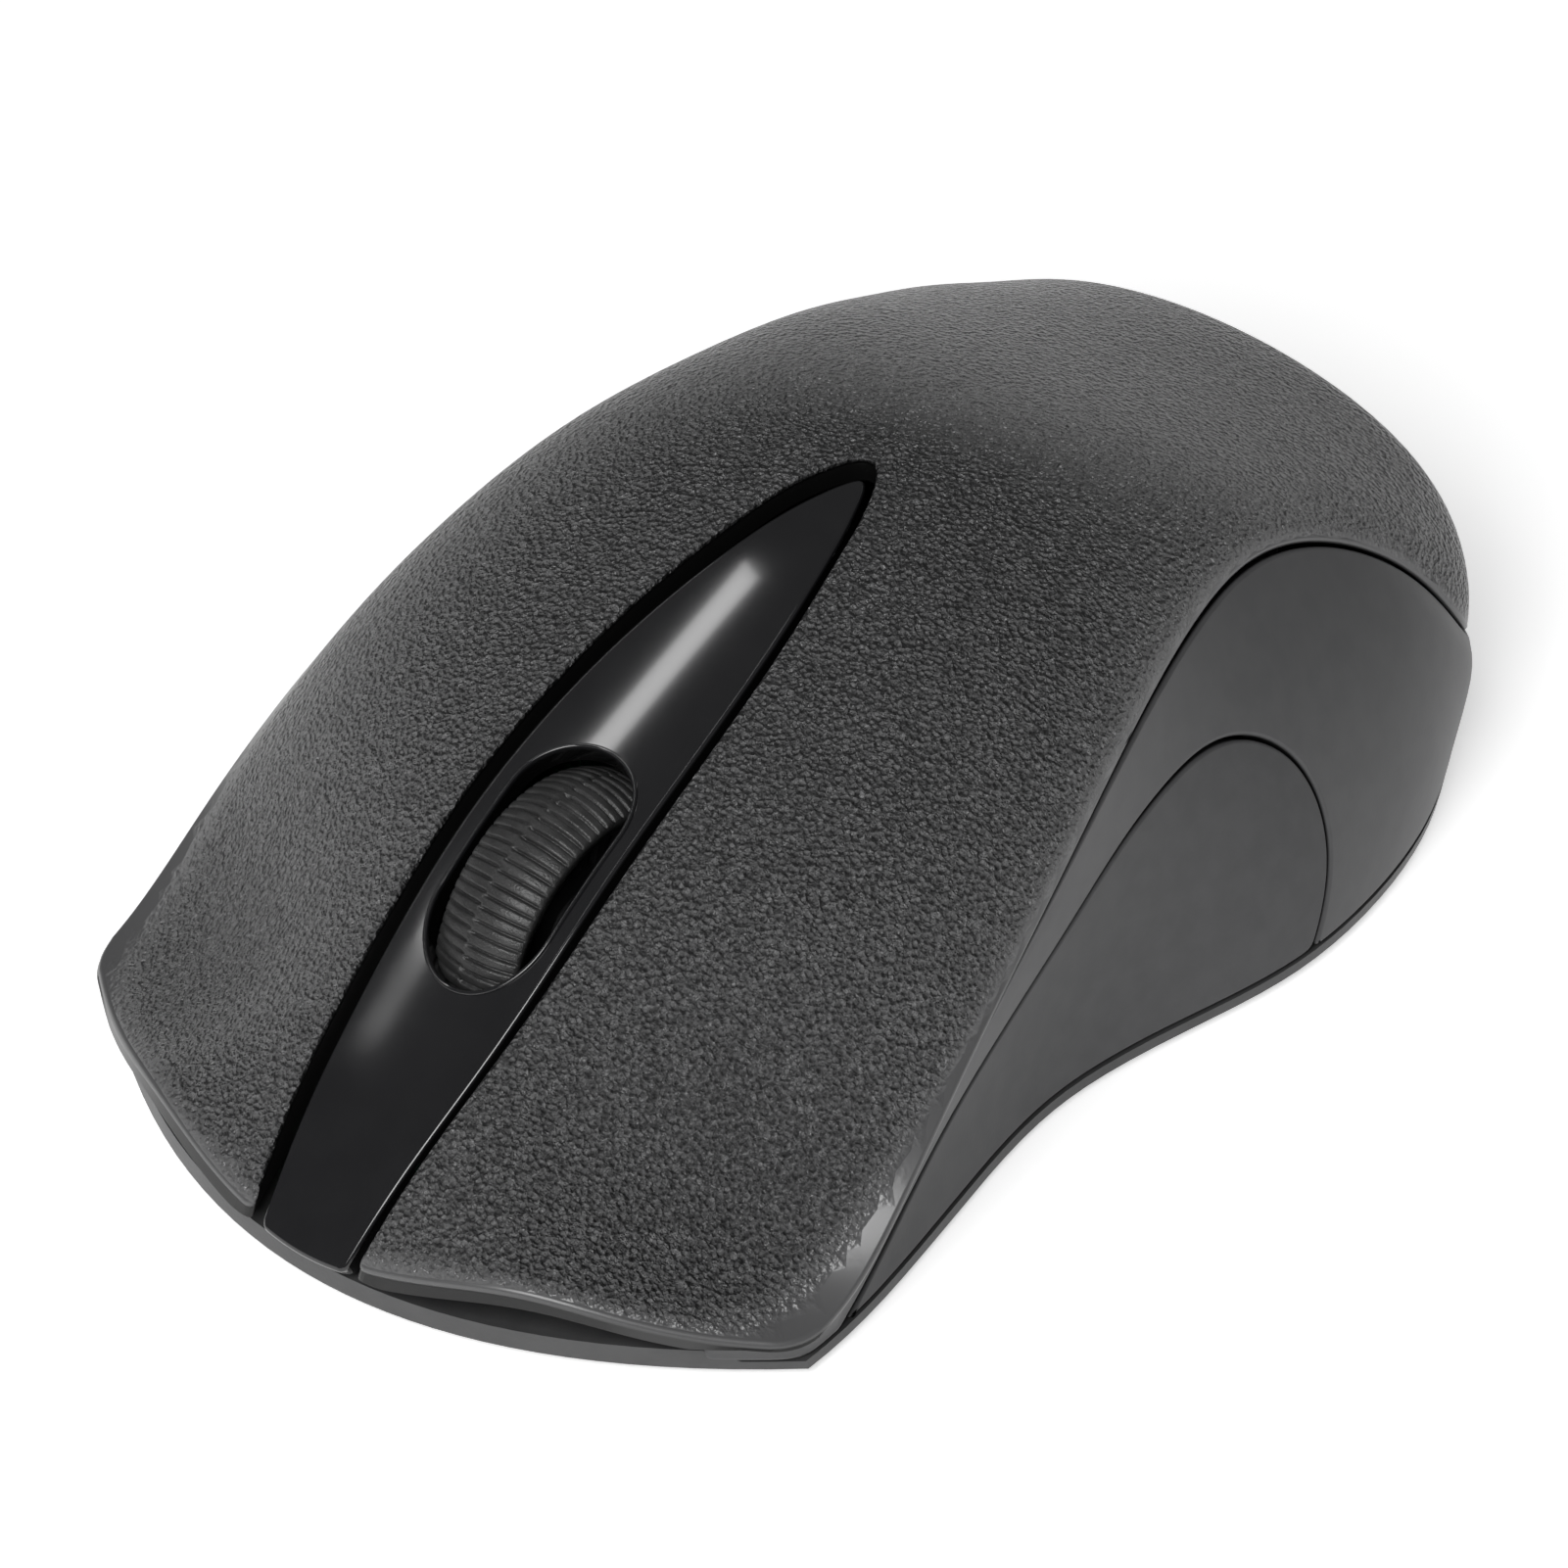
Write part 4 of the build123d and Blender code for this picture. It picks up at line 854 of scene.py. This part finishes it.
def grained_cover(name):
    """Charcoal plastic with a sharp sand grain that dies out along the edges; its speckle, paler on the
    grain's peaks, is partly random tone and partly painted highlight standing in for the grain's glints.
    """
    mat, tree, shader, place = base_material(name, 0.29, Specular_IOR_Level=0.6)
    grain = node(tree, "ShaderNodeTexVoronoi", Scale=2300.0, feature="F1")
    tree.links.new(place, grain.inputs["Vector"])
    fine = node(tree, "ShaderNodeTexNoise", Scale=3300.0, Detail=1.0)
    tree.links.new(place, fine.inputs["Vector"])
    edge = node(tree, "ShaderNodeAttribute", attribute_name="smooth_edge")
    depth = node(tree, "ShaderNodeAttribute", attribute_name="seam_depth")
    smooth = math_node(tree, "MAXIMUM", edge.outputs["Fac"], depth.outputs["Fac"])
    keep = math_node(tree, "SUBTRACT", 1.0, smooth)
    sharp = math_node(tree, "ADD", grain.outputs["Distance"], fine.outputs["Fac"])
    bump(tree, shader, math_node(tree, "MULTIPLY", sharp, keep), 1.0, 0.00075)
    speckle_and_glint = node(tree, "ShaderNodeMapRange")
    tree.links.new(fine.outputs["Fac"], speckle_and_glint.inputs["Value"])
    for key, value in (("From Min", 0.36), ("From Max", 0.66), ("To Min", -1.0), ("To Max", 1.0)):
        speckle_and_glint.inputs[key].default_value = value
    mix = node(tree, "ShaderNodeMix", data_type="RGBA")
    swing = math_node(tree, "MULTIPLY", speckle_and_glint.outputs["Result"], keep)
    tree.links.new(math_node(tree, "MULTIPLY_ADD", swing, 0.5, 0.5), mix.inputs["Factor"])
    # speckle colours: dark A and pale B; the pale B is partly painted highlight for the glints on the
    # grain
    mix.inputs["A"].default_value = (0.034, 0.034, 0.035, 1)
    mix.inputs["B"].default_value = (0.128, 0.128, 0.130, 1)
    # painted near-black shade in the seams over the grained colour
    paint_seam_shade(tree, shader, mix.outputs["Result"])
    return mat


def metal(name, color, rough=0.3):
    """Plated metal with fine drawn lines."""
    mat, tree, shader, place = base_material(name, rough, Metallic=1.0)
    mapping = node(tree, "ShaderNodeMapping")
    mapping.inputs["Scale"].default_value = (1, 1, 14)
    tree.links.new(place, mapping.inputs["Vector"])
    dark = tuple(c * 0.85 for c in color)
    drawn = mottled(tree, mapping.outputs["Vector"], dark, color, 900)
    tree.links.new(drawn, shader.inputs["Base Color"])
    return mat


def clear_lens(name):
    mat, tree, shader, place = base_material(name, 0.08, IOR=1.49, Transmission_Weight=0.9)
    tint = mottled(tree, place, (0.82, 0.88, 0.9), (0.9, 0.94, 0.95), 300)
    tree.links.new(tint, shader.inputs["Base Color"])
    return mat


def board_green(name):
    """Solder mask with faint traces and pads."""
    mat, tree, shader, place = base_material(name, 0.35)
    brick = node(tree, "ShaderNodeTexBrick", Scale=260.0)
    brick.inputs["Color1"].default_value = (0.010, 0.085, 0.035, 1)
    brick.inputs["Color2"].default_value = (0.012, 0.105, 0.045, 1)
    brick.inputs["Mortar"].default_value = (0.02, 0.16, 0.07, 1)
    brick.inputs["Mortar Size"].default_value = 0.03
    tree.links.new(place, brick.inputs["Vector"])
    tree.links.new(brick.outputs["Color"], shader.inputs["Base Color"])
    return mat


def wrapped_cell(name):
    """Plain two-tone wrap: dark body with a lighter end band."""
    mat, tree, shader, place = base_material(name, 0.3, Metallic=0.35)
    split = node(tree, "ShaderNodeSeparateXYZ")
    tree.links.new(place, split.inputs["Vector"])
    far = math_node(tree, "ABSOLUTE", split.outputs["X"])
    mix = node(tree, "ShaderNodeMix", data_type="RGBA")
    mix.inputs["A"].default_value = (0.05, 0.11, 0.2, 1)
    mix.inputs["B"].default_value = (0.45, 0.42, 0.38, 1)
    tree.links.new(math_node(tree, "GREATER_THAN", far, 0.0125), mix.inputs["Factor"])
    tree.links.new(mix.outputs["Result"], shader.inputs["Base Color"])
    return mat


cover_mat = grained_cover("cover_charcoal")
spine_mat = plastic("spine_piano_black", (0.009, 0.009, 0.010), (0.011, 0.011, 0.012), 0.09, grain=0.0,
                    Coat_Weight=0.3, Coat_Roughness=0.05)
frame_mat = plastic("frame_satin", (0.058, 0.058, 0.060), (0.066, 0.066, 0.068), 0.46, 1400, 0.12)
grip_mat = plastic("grip_soft", (0.052, 0.052, 0.054), (0.060, 0.060, 0.062), 0.62, 1400, 0.2)
base_mat = plastic("base_grey", (0.050, 0.050, 0.051), (0.060, 0.060, 0.061), 0.42, 1100, 0.25)
tyre_mat = plastic("tyre_rubber", (0.020, 0.020, 0.020), (0.034, 0.034, 0.034), 0.36, 2400, 0.5, 0.0001)
glide_mat = plastic("glide_slick", (0.016, 0.016, 0.018), (0.022, 0.022, 0.024), 0.35, 500, 0.05)
label_mat = plastic("label_blank", (0.42, 0.42, 0.43), (0.48, 0.48, 0.49), 0.4, 400, 0.03)
black_mat = plastic("moulded_black", (0.014, 0.014, 0.015), (0.02, 0.02, 0.022), 0.45)
bone_mat = plastic("plunger_bone", (0.6, 0.57, 0.5), (0.68, 0.65, 0.58), 0.45)
inner_mat = plastic("inner_black", (0.010, 0.010, 0.011), (0.014, 0.014, 0.015), 0.55)
lead_mat = plastic("lead_red", (0.38, 0.02, 0.02), (0.45, 0.03, 0.03), 0.4)
steel_mat = metal("steel_plated", (0.62, 0.62, 0.64))
can_mat = metal("can_satin", (0.55, 0.55, 0.57), 0.4)
lens_mat = clear_lens("lens_clear")
board_mat = board_green("board_green")
cell_mat = wrapped_cell("cell_wrap")

LOOKS = {
    "cover": cover_mat, "spine": spine_mat, "frame": frame_mat, "grip": grip_mat, "base": base_mat,
    "glide": glide_mat, "label": label_mat, "steel": steel_mat, "board": board_mat,
    "switch_body": black_mat, "plunger": bone_mat, "chip": black_mat, "can": can_mat, "tyre": tyre_mat,
    "hub": inner_mat, "cradle": inner_mat, "lens": lens_mat, "bay": inner_mat, "cell": cell_mat,
    "lead": lead_mat, "receiver": black_mat,
}
for entry in frame["record"]["subparts"]:
    obj = nodes[entry["node"]]
    if obj.data.materials:
        for place in obj.material_slots:
            place.material = LOOKS[entry["material_slot"]]
    else:
        obj.data.materials.append(LOOKS[entry["material_slot"]])


def dress(piece, material, slot, body, *replaced):
    """Gives a piece its material and the body it rides on, and hides the nodes it stands for. slot is
    not used.
    """
    piece.data.materials.append(material)
    if body:
        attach(piece, body)
    if replaced:
        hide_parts(*replaced)


for piece, word in ((left_button, "left"), (right_button, "right")):
    dress(piece, cover_mat, "cover", None, f"{word}_button")
    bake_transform(piece)
dress(palm, cover_mat, "cover", "housing", "palm_cover")
dress(side_frame, frame_mat, "frame", "housing", "side_frame")
dress(left_grip, grip_mat, "grip", "housing", "left_side_grip")
dress(right_grip, grip_mat, "grip", "housing", "right_side_grip")
dress(centre_spine, spine_mat, "spine", "housing", "centre_spine")
dress(lip, spine_mat, "spine", "housing")
dress(wheel_tyre, tyre_mat, "tyre", "wheel", "wheel_tyre")


# ------------------------------------------------------------------ camera, light and floor
def aim(obj, place, target, roll=0.0):
    """Puts a camera or light at place, facing target."""
    facing = (Vector(target) - Vector(place)).to_track_quat("-Z", "Y").to_matrix()
    obj.location = place
    obj.rotation_euler = (facing @ Matrix.Rotation(roll, 3, "Z")).to_euler()


camera_data = bpy.data.cameras.new("camera")
camera_data.lens = 224.4
camera_data.sensor_width = 36.0
camera_data.clip_start = 0.01
camera = bpy.data.objects.new("camera", camera_data)
bpy.context.scene.collection.objects.link(camera)
AIM = Vector((0.00036, -0.00095, 0.01245))
AZIMUTH, ELEVATION, ROLL = math.radians(40.51), math.radians(39.28), math.radians(-1.11)
DISTANCE = 0.6919
BACK = Vector((math.sin(AZIMUTH) * math.cos(ELEVATION), -math.cos(AZIMUTH) * math.cos(ELEVATION),
               math.sin(ELEVATION)))
aim(camera, AIM + BACK * DISTANCE, AIM, ROLL)
bpy.context.scene.camera = camera


def softbox(name, place, target, width, length, radiance):
    """Rectangular area light at place, facing target."""
    data = bpy.data.lights.new(name, "AREA")
    data.shape = "RECTANGLE"
    data.size = width
    data.size_y = length
    data.energy = radiance * math.pi * width * length
    light = bpy.data.objects.new(name, data)
    bpy.context.scene.collection.objects.link(light)
    aim(light, place, target)


softbox("strip_light", (-0.399, -0.12, 0.72), (-0.399, -0.12, 0), 0.045, 0.60, 8.0)
softbox("front_softbox", (0.17, -0.48, 0.48), (0, 0, 0.02), 0.36, 0.36, 9.0)
softbox("rear_softbox", (-0.10, 0.75, 0.50), (0, 0, 0.02), 0.60, 0.30, 0.3)

world = bpy.data.worlds.new("studio")
world.use_nodes = True
world.node_tree.nodes["Background"].inputs["Color"].default_value = (1, 1, 1, 1)
world.node_tree.nodes["Background"].inputs["Strength"].default_value = 0.14
bpy.context.scene.world = world
bpy.context.scene.view_settings.view_transform = "Standard"

FLOOR_HALF = 3.0
FLOOR_DROP = -0.0002       # just under the glides
floor_mesh = bpy.data.meshes.new("floor")
corners = [(-1, -1), (1, -1), (1, 1), (-1, 1)]
floor_points = [(x * FLOOR_HALF, y * FLOOR_HALF, FLOOR_DROP) for x, y in corners]
floor_mesh.from_pydata(floor_points, [], [(0, 1, 2, 3)])
floor = bpy.data.objects.new("floor", floor_mesh)
bpy.context.scene.collection.objects.link(floor)
floor_mat, _, shader, _ = base_material("floor_pale", 0.8)
shader.inputs["Base Color"].default_value = (0.9, 0.9, 0.9, 1)
shader.inputs["Emission Color"].default_value = (1, 1, 1, 1)
shader.inputs["Emission Strength"].default_value = 0.55
floor.data.materials.append(floor_mat)
